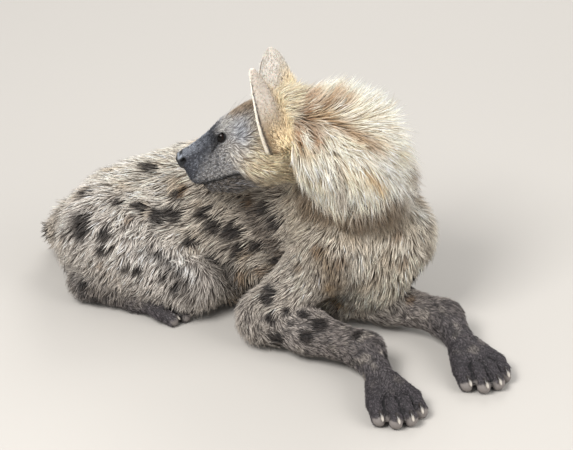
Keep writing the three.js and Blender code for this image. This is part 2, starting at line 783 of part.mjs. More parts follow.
// The mane grows in rows along the neck. Around the neck, 0 degrees is the crest and 90 the left
// side, which is on the outside of the bend. A lock lies along the neck by `lean`, which is negative
// towards the shoulders, and falls to its own side of the crest by `fall`.
const NECK_LINE = new THREE.CatmullRomCurve3([...NECK, SKULL.clone().addScaledVector(HEAD_FORWARD, 14)]);
const CREST_AT_BASE = point(-0.1, 0.85, 0.5);
const MANE_ROWS = [
  { around: -58, count: 4, length: 62, height: 20, lean: -1, fall: 0.5, width: 56 },
  { around: -24, count: 6, length: 34, height: 34, lean: 0.5, fall: 1, width: 54 },
  { around: 4, count: 7, length: 20, height: 46, lean: 0.6, fall: 1, width: 54 },
  { around: 32, count: 6, length: 46, height: 34, lean: -0.5, fall: 1, width: 54 },
  { around: 60, count: 6, length: 66, height: 26, lean: -1, fall: 0.5, width: 56 },
  { around: 92, count: 5, length: 72, height: 22, lean: -1, fall: 0.25, width: 58 },
  { around: 124, count: 4, length: 66, height: 19, lean: -1, fall: 0.1, width: 58 },
];
const manePlaces = MANE_ROWS.flatMap(({ around, count, length, height, lean, fall, width }, row) =>
  Array.from({ length: count }, (_, i) => {
    const along = lerp(0.12, 0.97, (i + (row % 2 ? 0.7 : 0.3)) / count);
    const from = NECK_LINE.getPoint(along);
    const ahead = NECK_LINE.getTangent(along);
    const crest = CREST_AT_BASE.clone().lerp(HEAD_UP, along);
    crest.addScaledVector(ahead, -crest.dot(ahead)).normalize();
    const left = crest.clone().cross(ahead);
    const a = THREE.MathUtils.degToRad(around * vary(0.04));
    const out = crest.clone().multiplyScalar(Math.cos(a)).addScaledVector(left, Math.sin(a));
    const down = left.multiplyScalar(Math.cos(a)).addScaledVector(crest, -Math.sin(a));
    const root = leaves(WHOLE, from, out, 190);
    const normal = slopeOf(WHOLE, root).normalize();
    const lie = ahead.multiplyScalar(lean * vary(0.3)).addScaledVector(down, fall * Math.sign(around));
    lie.addScaledVector(normal, -lie.dot(normal)).normalize();
    return {
      root,
      normal,
      lie,
      length: length * vary(0.15),
      height: height * vary(0.15),
      width: width * vary(0.12),
      thickness: 13,
    };
  }),
);
const mane = manePlaces.map(lock).reduce((all, one) => all.add(one), neckCore);
show("neck", largest(clearOf(mane, skull, trunk, ...ears)), "mane");

// Tail, with a brush of longer hair towards its tip
const tailForm = melt(TAIL_FORM);
const tailCore = largest(clearOf(meshed(tailForm, gridBox([-520, 60, -40], [-270, 400, 220]), CELL.tail), trunk));
const TAIL_LINE = new THREE.CatmullRomCurve3(TAIL.slice(2));
const brush = [-60, 10, 80].flatMap((around, row) =>
  [0.35, 0.9].map((place) => {
    const along = Math.min(place + 0.08 * (row % 2), 0.98);
    const from = TAIL_LINE.getPoint(along);
    const ahead = TAIL_LINE.getTangent(along);
    const side = point(0, 0, 1).cross(ahead).normalize();
    const a = THREE.MathUtils.degToRad(around);
    const out = point(0, 0, Math.cos(a)).addScaledVector(side, Math.sin(a));
    const root = leaves(tailForm, from, out, 60);
    const normal = slopeOf(tailForm, root).normalize();
    const lie = ahead.clone().addScaledVector(normal, -ahead.dot(normal)).normalize();
    return lock({ root, normal, lie, length: 62 * vary(0.2), height: 12, width: 30, thickness: 10 });
  }),
);
const brushed = brush.reduce((all, one) => all.add(one), tailCore);
show("tail", largest(clearOf(brushed.intersect(aboveFloor), trunk)), "fur");

// The origin is on the floor, in the middle of the whole model
const middle = new THREE.Box3().setFromObject(group).getCenter(point(0, 0, 0));
group.position.set(-middle.x, -middle.y, 0);
export default group;
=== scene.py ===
"""A young spotted hyena, life size, lying on its chest with the head turned back over its shoulder.

One skin carries a coat of tufts. Both come from the same rounded forms as the CAD solids, in
millimetres of the part's own frame, and are set into the row frame in metres when a mesh is made.
"""

import math
from collections import namedtuple

import bpy
import numpy as np
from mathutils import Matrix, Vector
from mathutils.kdtree import KDTree


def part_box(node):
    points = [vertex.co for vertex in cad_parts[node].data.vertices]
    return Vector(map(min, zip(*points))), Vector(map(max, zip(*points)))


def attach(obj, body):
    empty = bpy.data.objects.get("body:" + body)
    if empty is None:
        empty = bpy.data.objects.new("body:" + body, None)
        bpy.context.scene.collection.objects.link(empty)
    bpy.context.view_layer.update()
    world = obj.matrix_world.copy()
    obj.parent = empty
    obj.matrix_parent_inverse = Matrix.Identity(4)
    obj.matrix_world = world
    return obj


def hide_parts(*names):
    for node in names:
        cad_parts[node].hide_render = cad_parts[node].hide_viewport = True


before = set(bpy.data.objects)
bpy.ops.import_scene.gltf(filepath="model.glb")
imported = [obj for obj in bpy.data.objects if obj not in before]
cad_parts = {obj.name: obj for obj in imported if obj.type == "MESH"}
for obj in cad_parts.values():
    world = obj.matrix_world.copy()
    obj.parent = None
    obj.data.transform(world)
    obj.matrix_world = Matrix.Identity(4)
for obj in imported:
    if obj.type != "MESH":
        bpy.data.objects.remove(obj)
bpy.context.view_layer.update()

# Place of the head and of the whole model. The eyeball of the frame tells how far the part's own
# millimetre frame was moved when it was centred on the floor.
MM = 0.001
SKULL = np.array([0.0, -15.0, 448.0])


def unit(v):
    """Each row of v divided by its length."""
    v = np.asarray(v, float)
    return v / np.maximum(np.linalg.norm(v, axis=-1, keepdims=True), 1e-9)


HEAD_FORWARD = unit([-0.88, 0.118, -0.46])
HEAD_LEFT = np.array([-0.22, -0.962, 0.174])
HEAD_LEFT = unit(HEAD_LEFT - HEAD_FORWARD * (HEAD_LEFT @ HEAD_FORWARD))
HEAD_UP = np.cross(HEAD_FORWARD, HEAD_LEFT)
HEAD_FRAME = np.stack([HEAD_FORWARD, HEAD_LEFT, HEAD_UP])
# Middle of the eye in the render, forward, left and up of the skull's back, and of the solids' ball.
EYE_FORWARD, EYE_LEFT, EYE_UP, EYE_RADIUS = 121, 34, 10, 11.5
BALL_OF_SOLIDS = (122, 36, 14)


def on_head(forward, left, up):
    """The point that lies so far forward, left and up from the back of the skull."""
    forward, left, up = (np.asarray(v, float)[..., None] for v in (forward, left, up))
    return SKULL + forward * HEAD_FORWARD + left * HEAD_LEFT + up * HEAD_UP


eye_low, eye_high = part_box("left_eye")
SHIFT = np.array((eye_low + eye_high) / 2) / MM - on_head(*BALL_OF_SOLIDS)


def to_frame(p):
    """Part millimetres to row metres."""
    return (p + SHIFT) * MM


# Camera: level with a person who looks down at 30 degrees from six metres, on a long lens.
CAMERA_AWAY = 6000
CAMERA_DOWN = math.radians(30)
FOCAL_PIXELS = 3180
PHOTO_WIDTH, PHOTO_HEIGHT = 573, 450
SENSOR = 36
LOOK_AT = np.array([0, 0, 200])
camera_back = np.array([0, -math.cos(CAMERA_DOWN), math.sin(CAMERA_DOWN)])
camera_up = np.array([0, math.sin(CAMERA_DOWN), math.cos(CAMERA_DOWN)])
camera_at = LOOK_AT + CAMERA_AWAY * camera_back
camera_data = bpy.data.cameras.new("camera")
camera_data.sensor_width = SENSOR
camera_data.lens = SENSOR * FOCAL_PIXELS / PHOTO_WIDTH
camera_data.clip_end = 100
camera = bpy.data.objects.new("camera", camera_data)
camera.location = to_frame(camera_at)
camera.rotation_mode = "QUATERNION"
camera.rotation_quaternion = Vector(-camera_back).to_track_quat("-Z", "Y")
bpy.context.scene.collection.objects.link(camera)
bpy.context.scene.camera = camera


def ray_through(x, y):
    """Directions from the camera through pixels of the photograph."""
    right = (np.asarray(x, float) - PHOTO_WIDTH / 2) / FOCAL_PIXELS
    up = (PHOTO_HEIGHT / 2 - np.asarray(y, float)) / FOCAL_PIXELS
    return unit(right[:, None] * np.array([1, 0, 0]) + up[:, None] * camera_up - camera_back)


# Floor and light: a matt pale studio floor under a large soft lamp from the upper left, with weaker
# ones from the right and from behind, and an even pale surround. Matt paint gives no gloss, so the
# floor shows only the soft shadow.
def linear(colours):
    """sRGB hex values, such as "#c0a080", as rows of linear red, green and blue."""
    one = isinstance(colours, str)
    listed = [colours] if one else colours
    rows = np.array([[int(c[i : i + 2], 16) / 255 for i in (1, 3, 5)] for c in listed])
    rows = np.where(rows <= 0.04045, rows / 12.92, ((rows + 0.055) / 1.055) ** 2.4)
    return rows[0] if one else rows


def add_node(tree, kind, settings=(), **links):
    """Adds a node, sets its properties and sockets, and links sockets to other nodes' outputs.
    A socket's name has underscores for spaces, or is its number after one, as _3, and its value is
    an output socket or a constant."""
    node = tree.nodes.new(kind)
    for name, value in dict(settings).items():
        setattr(node, name, value)
    for name, value in links.items():
        socket = node.inputs[int(name[1:])] if name[1:].isdigit() else node.inputs[name.replace("_", " ")]
        if isinstance(value, bpy.types.NodeSocket):
            tree.links.new(value, socket)
        else:
            socket.default_value = value
    return node


def new_material(name):
    """An empty node material, its tree and its Principled shader."""
    material = bpy.data.materials.new(name)
    material.use_nodes = True
    tree = material.node_tree
    return material, tree, tree.nodes["Principled BSDF"]


def mesh_object(name, points, faces, material, smooth=True):
    """A mesh from part millimetres. Its faces are turned round if the volume that they close, a
    sixth of the sum of a . (b x c), is below nought."""
    mesh = bpy.data.meshes.new(name)
    corners = faces.shape[1]
    a, b, c = (points[faces[:, k]] - points[0] for k in range(3))
    if (a * np.cross(b, c)).sum() < 0:
        faces = faces[:, ::-1]
    mesh.vertices.add(len(points))
    mesh.vertices.foreach_set("co", to_frame(points).astype(np.float32).ravel())
    mesh.loops.add(faces.size)
    mesh.loops.foreach_set("vertex_index", faces.astype(np.int32).ravel())
    mesh.polygons.add(len(faces))
    mesh.polygons.foreach_set("loop_start", np.arange(0, faces.size, corners, dtype=np.int32))
    mesh.polygons.foreach_set("use_smooth", np.full(len(faces), smooth))
    mesh.update(calc_edges=True)
    mesh.materials.append(material)
    made = bpy.data.objects.new(name, mesh)
    bpy.context.scene.collection.objects.link(made)
    return made


def set_colour(piece, name, rgb):
    """Stores linear colours, one per vertex, as the attribute that the material reads."""
    attribute = piece.data.color_attributes.new(name, "FLOAT_COLOR", "POINT")
    rgba = np.concatenate([rgb, np.ones((len(rgb), 1))], 1)
    attribute.data.foreach_set("color", rgba.astype(np.float32).ravel())


FLOOR_HALF = 20000
floor_paint, _, floor_shader = new_material("matt_floor_paint")
floor_shader.inputs["Base Color"].default_value = (*linear("#bab5ae"), 1)
floor_shader.inputs["Roughness"].default_value = 0.9
floor_corners = np.array([[x, y, 0] for x, y in ((-1, -1), (1, -1), (1, 1), (-1, 1))], float) * FLOOR_HALF
floor = mesh_object("studio_floor", floor_corners, np.array([[0, 1, 2, 3]]), floor_paint, smooth=False)


# Name, place and width in metres, and watts.
LAMPS = (
    ("key_lamp", (-1.6, -2.2, 3.4), 1.6, 195),
    ("fill_lamp", (2.8, -1.6, 1.8), 2.5, 68),
    ("back_lamp", (0.6, 3.0, 2.6), 2.0, 55),
)
LAMPS_AIM_AT = Vector((0, 0, 0.2))
SURROUND, SURROUND_STRENGTH = "#eef0f3", 0.64


def area_lamp(name, place, size, power):
    """A square lamp, turned to the middle of the animal."""
    data = bpy.data.lights.new(name, "AREA")
    data.size = size
    data.energy = power
    lamp = bpy.data.objects.new(name, data)
    lamp.location = place
    lamp.rotation_mode = "QUATERNION"
    lamp.rotation_quaternion = (LAMPS_AIM_AT - Vector(place)).to_track_quat("-Z", "Y")
    bpy.context.scene.collection.objects.link(lamp)


for lamp in LAMPS:
    area_lamp(*lamp)
world = bpy.data.worlds.new("studio")
world.use_nodes = True
surround = world.node_tree.nodes["Background"]
surround.inputs["Color"].default_value = (*linear(SURROUND), 1)
surround.inputs["Strength"].default_value = SURROUND_STRENGTH
bpy.context.scene.world = world
bpy.context.scene.view_settings.view_transform = "Standard"

# Body form: muscles as eggs and limbs that melt into each other, as the solids have them. Each has
# its coat, and the way the hair lies on it. The skin is the same form with each radius less by the
# depth of its coat. A coat's depth over the skin, its tufts' length, width and spacing are in
# millimetres, and its lift, how steeply they leave the skin, is in radians.
Coat = namedtuple("Coat", "depth length lift width spacing root tip")
COATS = {
    "rump": Coat(16, 32, 0.58, 2.1, 3.4, "#837870", "#dfd6cb"),
    "back": Coat(16, 34, 0.58, 2.1, 3.4, "#988a7b", "#ece3d6"),
    "flank": Coat(15, 34, 0.56, 2.1, 3.4, "#675b50", "#cfc3b3"),
    "belly": Coat(15, 44, 0.5, 2.3, 3.6, "#3f3833", "#cabfb1"),
    "chest": Coat(17, 40, 0.6, 2.3, 3.5, "#73685c", "#e4dbcd"),
    "breast": Coat(15, 40, 0.55, 2.3, 3.5, "#857766", "#ece1cd"),
    "mane": Coat(10, 60, 0.55, 1.9, 3.2, "#e8d5b2", "#fff6e6"),
    "shoulder": Coat(12, 32, 0.55, 2.1, 3.4, "#574b40", "#cbbca6"),
    "upper_arm": Coat(9, 26, 0.5, 1.9, 3.2, "#5d524a", "#d6cbbd"),
    "forearm": Coat(6, 18, 0.48, 1.8, 3, "#443c39", "#c4bab1"),
    "wrist": Coat(4, 14, 0.48, 1.6, 2.7, "#322c2c", "#968c85"),
    "paw": Coat(2.5, 11, 0.4, 1.5, 2.6, "#221e20", "#716a6a"),
    "toe": Coat(1.6, 7.5, 0.38, 1.3, 2.3, "#1a1719", "#5d5659"),
    "thigh": Coat(14, 32, 0.6, 2.1, 3.4, "#857a71", "#e6ddd3"),
    "shank": Coat(7, 26, 0.5, 1.9, 3.1, "#332c29", "#8f857b"),
    "crown": Coat(5, 14, 0.5, 1.4, 2.2, "#6b6058", "#cbc0b0"),
    "cheek": Coat(8, 28, 0.44, 1.7, 2.6, "#b0905f", "#f6e1b9"),
    "face": Coat(3, 10, 0.42, 1.2, 2, "#625d58", "#cfc9c2"),
    "muzzle": Coat(1.6, 5.5, 0.5, 0.95, 1.6, "#24262c", "#5d616b"),
    "nose": Coat(0.0, 2.0, 0.3, 0.8, 1.6, "#1c1c1f", "#2c2d31"),
    "jaw": Coat(2.2, 7, 0.45, 1.1, 1.8, "#3a3533", "#8a8177"),
    "throat": Coat(6, 26, 0.42, 1.9, 2.8, "#a88d68", "#f4e3c6"),
    "tail": Coat(10, 34, 0.45, 2.4, 3.5, "#6b5f54", "#d6cabb"),
    "brush": Coat(12, 58, 0.35, 2.8, 3.6, "#1c1715", "#4a4038"),
}
Form = namedtuple("Form", "skin low high blend hollow lie coat fade part")
DOWN = np.array([0.0, 0.0, -1.0])


def limb(a, b, ra, rb):
    """Distance to a rod from a to b whose radius goes evenly from ra to rb."""
    a, along = np.asarray(a, float), np.subtract(b, a).astype(float)

    def distance(p):
        q = p - a
        t = np.clip(q @ along / (along @ along), 0, 1)
        return np.linalg.norm(q - t[:, None] * along, axis=1) - (ra + (rb - ra) * t)

    return distance


def egg(centre, radii, axes):
    """Near distance to an egg with half sizes radii along the rows of axes: the scaled length less
    one, times the scaled length, over the length of its slope."""
    centre, radii = np.asarray(centre, float), np.asarray(radii, float)

    def distance(p):
        q = (p - centre) @ axes.T / radii
        scaled = np.linalg.norm(q, axis=1)
        slope = np.linalg.norm(q / radii, axis=1)
        return scaled * (scaled - 1) / np.maximum(slope, 1e-6)

    return distance


def heading(degrees):
    """Level axes as rows: ahead, turned so far from +X to the left, then left, and up."""
    a = math.radians(degrees)
    return np.array([[math.cos(a), math.sin(a), 0], [-math.sin(a), math.cos(a), 0], [0, 0, 1]])


def limb_form(a, b, ra, rb, blend, coat, part, lie=None, fade=9.0):
    """A limb with hair that lies along it from a to b."""
    a, b, depth = np.asarray(a, float), np.asarray(b, float), COATS[coat].depth
    low = np.minimum(a - ra, b - rb)
    high = np.maximum(a + ra, b + rb)
    lie = unit(b - a if lie is None else lie)
    return Form(limb(a, b, ra - depth, rb - depth), low, high, blend, False, lie, coat, fade, part)


def egg_form(centre, radii, axes, blend, coat, part, lie, fade=14.0):
    """An egg; its box reaches as far along each axis as the root of the sum of squares of its half
    sizes' shares there."""
    centre, depth = np.asarray(centre, float), COATS[coat].depth
    reach = np.sqrt(((np.array(radii)[:, None] * axes) ** 2).sum(0))
    inner = egg(centre, np.subtract(radii, depth), axes)
    return Form(inner, centre - reach, centre + reach, blend, False, unit(lie), coat, fade, part)


def box_gap(form, p):
    """Distance from each point to the box round a form."""
    return np.linalg.norm(np.maximum(0, np.maximum(form.low - p, p - form.high)), axis=1)


NEARBY = 12


def melt(forms, p):
    """Smooth union: where two distances differ by less than the blend, a quarter of the square of
    what is left, over the blend, is taken away. A hollow is taken out in the same way. A form is
    left out where its box is too far off to count."""
    d = np.full(len(p), 1e6)
    for form in forms:
        reach = NEARBY if form.hollow else np.maximum(d, 0) + NEARBY
        near = np.nonzero(box_gap(form, p) < form.blend + reach)[0]
        other, was = form.skin(p[near]), d[near]
        gap = np.abs(was + other) if form.hollow else np.abs(was - other)
        soft = np.maximum(form.blend - gap, 0) ** 2 / (4 * form.blend)
        d[near] = np.maximum(was, -other) + soft if form.hollow else np.minimum(was, other) - soft
    return d


BACKWARD = [-1.0, 0.05, -0.5]
TRUNK = [
    egg_form((-332, 112, 104), (120, 100, 110), heading(0), 1, "rump", "rump", (-0.8, 0, -0.7)),
    egg_form((-296, 124, 146), (100, 92, 106), heading(0), 40, "rump", "rump", (-1, 0, -0.5)),
    egg_form((-215, 138, 140), (135, 106, 138), heading(0), 60, "back", "rump", BACKWARD),
    egg_form((-110, 132, 152), (150, 120, 158), heading(-8), 60, "flank", "flank", BACKWARD),
    egg_form((50, 75, 165), (130, 122, 162), heading(-38), 60, "flank", "flank", (-0.85, 0.3, -0.7)),
    egg_form((135, 0, 175), (105, 105, 150), heading(-65), 60, "chest", "chest", (-0.45, 0.3, -1)),
    egg_form((172, -58, 160), (62, 72, 92), heading(-72), 50, "breast", "chest", (-0.2, 0.1, -1)),
    egg_form((-118, 96, 62), (120, 104, 76), heading(-4), 50, "belly", "flank", (0.5, -0.1, -0.9)),
]
NECK = np.array([[132, 0, 235], [142, -38, 315], [118, -50, 384], [58, -38, 406]], float)
NECK_RADII = [92, 76, 78, 80]
NECK_FORM = [
    limb_form(
        NECK[i], NECK[i + 1], NECK_RADII[i], NECK_RADII[i + 1], 50, "mane", "neck",
        unit(NECK[i] - NECK[i + 1]) + 0.6 * DOWN, fade=16,
    )
    for i in range(3)
]
ForeLeg = namedtuple("ForeLeg", "blade top middle end paw")
FORE = {
    "right": ForeLeg((62, 5, 285), (84, -82, 192), (-42, -95, 54), (147, -203, 48), (0.33, -0.94, 0)),
    "left": ForeLeg((148, 60, 275), (212, -18, 190), (112, 6, 54), (298, -88, 48), (0.4, -0.917, 0)),
}
HindLeg = namedtuple("HindLeg", "hip knee hock ball paw")
HIND = {
    "right": HindLeg((-335, 78, 150), (-188, 8, 74), (-384, 54, 40), (-285, 24, 26), (0.93, -0.36, 0)),
    "left": HindLeg((-322, 160, 132), (-192, 244, 74), (-374, 206, 40), (-284, 246, 26), (0.93, 0.36, 0)),
}


def foreleg(side):
    """Shoulder, upper arm, and the thick and the thin end of the forearm."""
    leg, part = FORE[side], f"{side}_foreleg"
    down_blade = unit(np.subtract(leg.top, leg.blade)) + 0.7 * DOWN
    belly = np.array(leg.middle) + 0.42 * np.subtract(leg.end, leg.middle)
    return [
        limb_form(leg.blade, leg.top, 48, 60, 50, "shoulder", part, down_blade),
        limb_form(leg.top, leg.middle, 60, 50, 45, "upper_arm", part),
        limb_form(leg.middle, belly, 48, 43, 30, "forearm", part),
        limb_form(belly, leg.end, 43, 32, 20, "wrist", part),
    ]


def hindleg(side):
    """Thigh, shank and the long foot, folded as on a lying animal."""
    leg, part = HIND[side], f"{side}_hindleg"
    down_shank = unit(np.subtract(leg.hock, leg.knee)) + 0.6 * DOWN
    return [
        limb_form(leg.hip, leg.knee, 86, 62, 45, "thigh", part, (-0.35, 0, -1)),
        limb_form(leg.knee, leg.hock, 50, 31, 30, "shank", part, down_shank),
        limb_form(leg.hock, leg.ball, 29, 24, 20, "paw", part),
    ]


TOE_SPREAD = (-39, -13.5, 13.5, 39)
TOE_REACH = (176, 194, 194, 176)
FORE_PAW, HIND_PAW, HIND_BEHIND = 1.0, 0.86, 66
PAWS = {
    "right_fore": (FORE["right"].end, FORE["right"].paw, FORE_PAW, 0, "right_foreleg"),
    "left_fore": (FORE["left"].end, FORE["left"].paw, FORE_PAW, 0, "left_foreleg"),
    "right_hind": (HIND["right"].ball, HIND["right"].paw, HIND_PAW, HIND_BEHIND, "right_hindleg"),
    "left_hind": (HIND["left"].ball, HIND["left"].paw, HIND_PAW, HIND_BEHIND, "left_hindleg"),
}


def toes(wrist, forward, size, behind):
    """Root, knuckle and tip of each of the four toes, which fan a little."""
    wrist, forward = np.array(wrist, float), np.array(forward, float)
    side = np.array([-forward[1], forward[0], 0])
    made = []
    for spread, reach in zip(TOE_SPREAD, TOE_REACH):
        steps = ((92, 0.5, 33), (reach - 30, 0.92, 27), (reach, 1, 16))
        made.append([
            np.array([*wrist[:2], up * size]) + forward * (ahead * size - behind)
            + side * spread * share * size
            for ahead, share, up in steps
        ])
    return made


def paw(wrist, forward, size, behind, part):
    """A limb from the wrist to the heel, and two for each toe."""
    heel = np.array(wrist) + np.array(forward) * (108 * size - behind)
    heel[2] = 29 * size
    forms = [limb_form(wrist, heel, 31 * size, 27 * size, 30, "paw", part)]
    for root, knuckle, tip in toes(wrist, forward, size, behind):
        forms.append(limb_form(root, knuckle, 17 * size, 18.5 * size, 9, "toe", part, fade=5))
        forms.append(limb_form(knuckle, tip, 18 * size, 17 * size, 3.5, "toe", part, fade=5))
    return forms


BOTH = (1, -1)
TO_NAPE = -HEAD_FORWARD


def head_egg(forward, left, up, radii, blend, coat, lie=TO_NAPE, hollow=False, fade=7.0):
    """An egg along the head's own axes, or one that is hollowed out of it."""
    made = egg_form(on_head(forward, left, up), radii, HEAD_FRAME, blend, coat, "head", lie, fade)
    return made._replace(hollow=hollow)


def head_limb(a, b, ra, rb, blend, coat, lie=TO_NAPE, fade=6.0):
    """A limb between two points of the head."""
    return limb_form(on_head(*a), on_head(*b), ra, rb, blend, coat, "head", lie, fade)


HEAD = [
    head_egg(48, 0, -12, (78, 66, 60), 40, "crown"),
    head_egg(98, 0, 2, (52, 47, 36), 25, "face"),
    *(head_egg(66, s * 44, -42, (62, 34, 52), 25, "cheek", TO_NAPE + 0.5 * DOWN, fade=9) for s in BOTH),
    head_limb((118, 0, -18), (202, 0, -25), 38, 27, 25, "muzzle"),
    head_limb((122, 0, 8), (214, 0, -8), 20, 15, 18, "muzzle"),
    head_egg(217, 0, -9, (16, 18, 14), 9, "nose"),
    *(head_limb((128, s * 26, -46), (204, s * 13, -44), 23, 19, 12, "muzzle") for s in BOTH),
    head_limb((50, 0, -79), (150, 0, -77), 44, 28, 22, "throat", fade=9),
    head_limb((150, 0, -77), (189, 0, -73), 27, 19, 12, "jaw"),
    *(head_egg(EYE_FORWARD - 7, s * 36, EYE_UP + 11, (24, 14, 10), 10, "face") for s in BOTH),
    *(head_egg(EYE_FORWARD + 2, s * 48, EYE_UP, (16, 13, 11), 8, "nose", hollow=True) for s in BOTH),
]
TAIL = np.array(
    [[-415, 150, 135], [-440, 196, 78], [-436, 246, 38], [-392, 296, 31], [-330, 330, 30]], float
)
TAIL_RADII = (36, 30, 27, 27, 20)
TAIL_COATS = ("tail", "tail", "brush", "brush")
TAIL_FORM = [
    limb_form(TAIL[i], TAIL[i + 1], TAIL_RADII[i], TAIL_RADII[i + 1], 20, coat, "tail")
    for i, coat in enumerate(TAIL_COATS)
]
LEGS = [f for side in ("right", "left") for f in foreleg(side)]
LEGS += [f for side in ("right", "left") for f in hindleg(side)]
LEGS += [f for name in PAWS for f in paw(*PAWS[name])]
BODY = [*TRUNK, *NECK_FORM, *LEGS, *HEAD, *TAIL_FORM]


FLOOR_CLEAR = 0.6


def depth_in(p):
    """Distance to the whole body, with the floor taken away from it."""
    return np.maximum(melt(BODY, p), FLOOR_CLEAR - p[:, 2])


STEP = 0.6


def slope_at(p, field):
    """Gradient of a field by differences over a small step along each axis."""
    return np.stack([(field(p + STEP * e) - field(p - STEP * e)) / (2 * STEP) for e in np.eye(3)], 1)


def settle(p, field, cap, steps=3):
    """Moves points along the slope of the field until they lie on it, by at most the cap."""
    start = p
    for _ in range(steps):
        slope = slope_at(p, field)
        p = p - slope * (field(p) / np.maximum((slope**2).sum(1), 0.2))[:, None]
    moved = p - start
    far = np.linalg.norm(moved, axis=1, keepdims=True)
    return start + moved * np.minimum(1, cap / np.maximum(far, 1e-9))


# Skin: one closed hide over the whole body, dark under the hair. Its mesh is one vertex for each
# grid cube that the form passes through, and it is split finer on the head, the face and the paws.
SKIN_CELL = 6.1
COARSE = 4
SKIN_LOW, SKIN_HIGH = np.array([-500.0, -440.0, -10.0]), np.array([420.0, 390.0, 590.0])


def sampled(low, count, cell):
    """Field on a grid, exact near the surface and only inside or outside elsewhere: a coarse grid
    tells which blocks are near."""
    blocks = np.ceil(np.array(count) / COARSE).astype(int) + 1
    coarse_at = np.stack(np.meshgrid(*(np.arange(n) for n in blocks), indexing="ij"), -1)
    coarse = depth_in((low + coarse_at.reshape(-1, 3) * COARSE * cell).astype(float)).reshape(blocks)
    spread = coarse
    for axis in range(3):
        spread = np.repeat(spread, COARSE, axis=axis)
    half = COARSE // 2
    spread = np.roll(spread, (-half, -half, -half), (0, 1, 2))[: count[0], : count[1], : count[2]]
    spread = np.clip(spread, -1e3, 1e3).copy()
    near = np.abs(spread) < COARSE * cell * 1.4
    at = np.stack(np.nonzero(near), 1)
    spread[near] = depth_in(low + at * cell)
    return spread


def surface_net(value, low, cell):
    """Vertices at the mean crossing of each mixed cube, and a quad round each crossed grid line."""
    inside = value < 0
    cubes = np.array(value.shape) - 1
    total = np.zeros((*cubes, 3), np.float32)
    hits = np.zeros(cubes, np.float32)
    corner = np.stack(np.meshgrid(*(np.arange(n) for n in cubes), indexing="ij"), -1).astype(np.float32)
    window = lambda o: tuple(slice(o[k], o[k] + cubes[k]) for k in range(3))
    for axis in range(3):
        for first in (0, 1):
            for second in (0, 1):
                start = [0, 0, 0]
                start[(axis + 1) % 3], start[(axis + 2) % 3] = first, second
                end = list(start)
                end[axis] = 1
                a, b = value[window(start)], value[window(end)]
                crossed = (a < 0) != (b < 0)
                share = np.where(crossed, a / np.where(crossed, a - b, 1), 0)
                place = np.array(start, np.float32) + share[..., None] * np.eye(3, dtype=np.float32)[axis]
                total += np.where(crossed[..., None], place, 0)
                hits += crossed
    used = hits > 0
    number = np.full(cubes, -1)
    number[used] = np.arange(used.sum())
    points = low + (corner[used] + total[used] / hits[used][:, None]) * cell
    quads = []
    for axis in range(3):
        u, v = (axis + 1) % 3, (axis + 2) % 3
        end = [0, 0, 0]
        end[axis] = 1
        upper = tuple(slice(end[k], value.shape[k]) for k in range(3))
        lower = tuple(slice(0, value.shape[k] - end[k]) for k in range(3))
        at = np.stack(np.nonzero(inside[lower] != inside[upper]), 1)
        at = at[(at[:, u] > 0) & (at[:, v] > 0) & (at[:, u] < cubes[u]) & (at[:, v] < cubes[v])]
        ring = []
        for du, dv in ((1, 1), (0, 1), (0, 0), (1, 0)):
            cube = at.copy()
            cube[:, u] -= du
            cube[:, v] -= dv
            ring.append(number[tuple(cube.T)])
        quad = np.stack(ring, 1)
        flip = ~inside[tuple(at.T)]
        quad[flip] = quad[flip][:, ::-1]
        quads.append(quad)
    quads = np.concatenate(quads)
    return points, np.concatenate([quads[:, [0, 1, 2]], quads[:, [0, 2, 3]]])


def refine(points, tris, picked):
    """Splits each picked triangle into four, and its neighbours into two or three, so that no crack
    opens: every side of a picked triangle gets a point at its middle."""
    ends = np.sort(tris[:, [[0, 1], [1, 2], [2, 0]]], axis=2)
    key = ends[..., 0] * len(points) + ends[..., 1]
    split = np.unique(key[picked])
    place = np.minimum(np.searchsorted(split, key), len(split) - 1)
    hit = split[place] == key
    middle = len(points) + place
    points = np.concatenate([points, (points[split // len(points)] + points[split % len(points)]) / 2])
    made = [tris[~hit.any(1)]]
    full = hit.all(1)
    (a, b, c), (ab, bc, ca) = tris[full].T, middle[full].T
    made += [np.stack(t, 1) for t in ((a, ab, ca), (ab, b, bc), (ca, bc, c), (ab, bc, ca))]
    for turn in range(3):
        order = np.roll([0, 1, 2], -turn)
        t, m, h = tris[:, order], middle[:, order], hit[:, order]
        one = h[:, 0] & ~h[:, 1] & ~h[:, 2]
        (a, b, c), ab = t[one].T, m[one, 0]
        made += [np.stack(x, 1) for x in ((a, ab, c), (ab, b, c))]
        two = h[:, 0] & h[:, 1] & ~h[:, 2]
        (a, b, c), ab, bc = t[two].T, m[two, 0], m[two, 1]
        made += [np.stack(x, 1) for x in ((ab, b, bc), (a, ab, bc), (a, bc, c))]
    return points, np.concatenate(made)


def head_place(p):
    """Forward, left and up of points on the head."""
    return (p - SKULL) @ HEAD_FRAME.T


def near_line(p, line):
    """Distance from each point to a line of points."""
    best = np.full(len(p), 1e6)
    for a, b in zip(line[:-1], line[1:]):
        best = np.minimum(best, limb(a, b, 0, 0)(p))
    return best


count = np.ceil((SKIN_HIGH - SKIN_LOW) / SKIN_CELL).astype(int)
skin_points, skin_tris = surface_net(sampled(SKIN_LOW, count, SKIN_CELL), SKIN_LOW, SKIN_CELL)
skin_points = settle(skin_points, depth_in, 0.6 * SKIN_CELL)

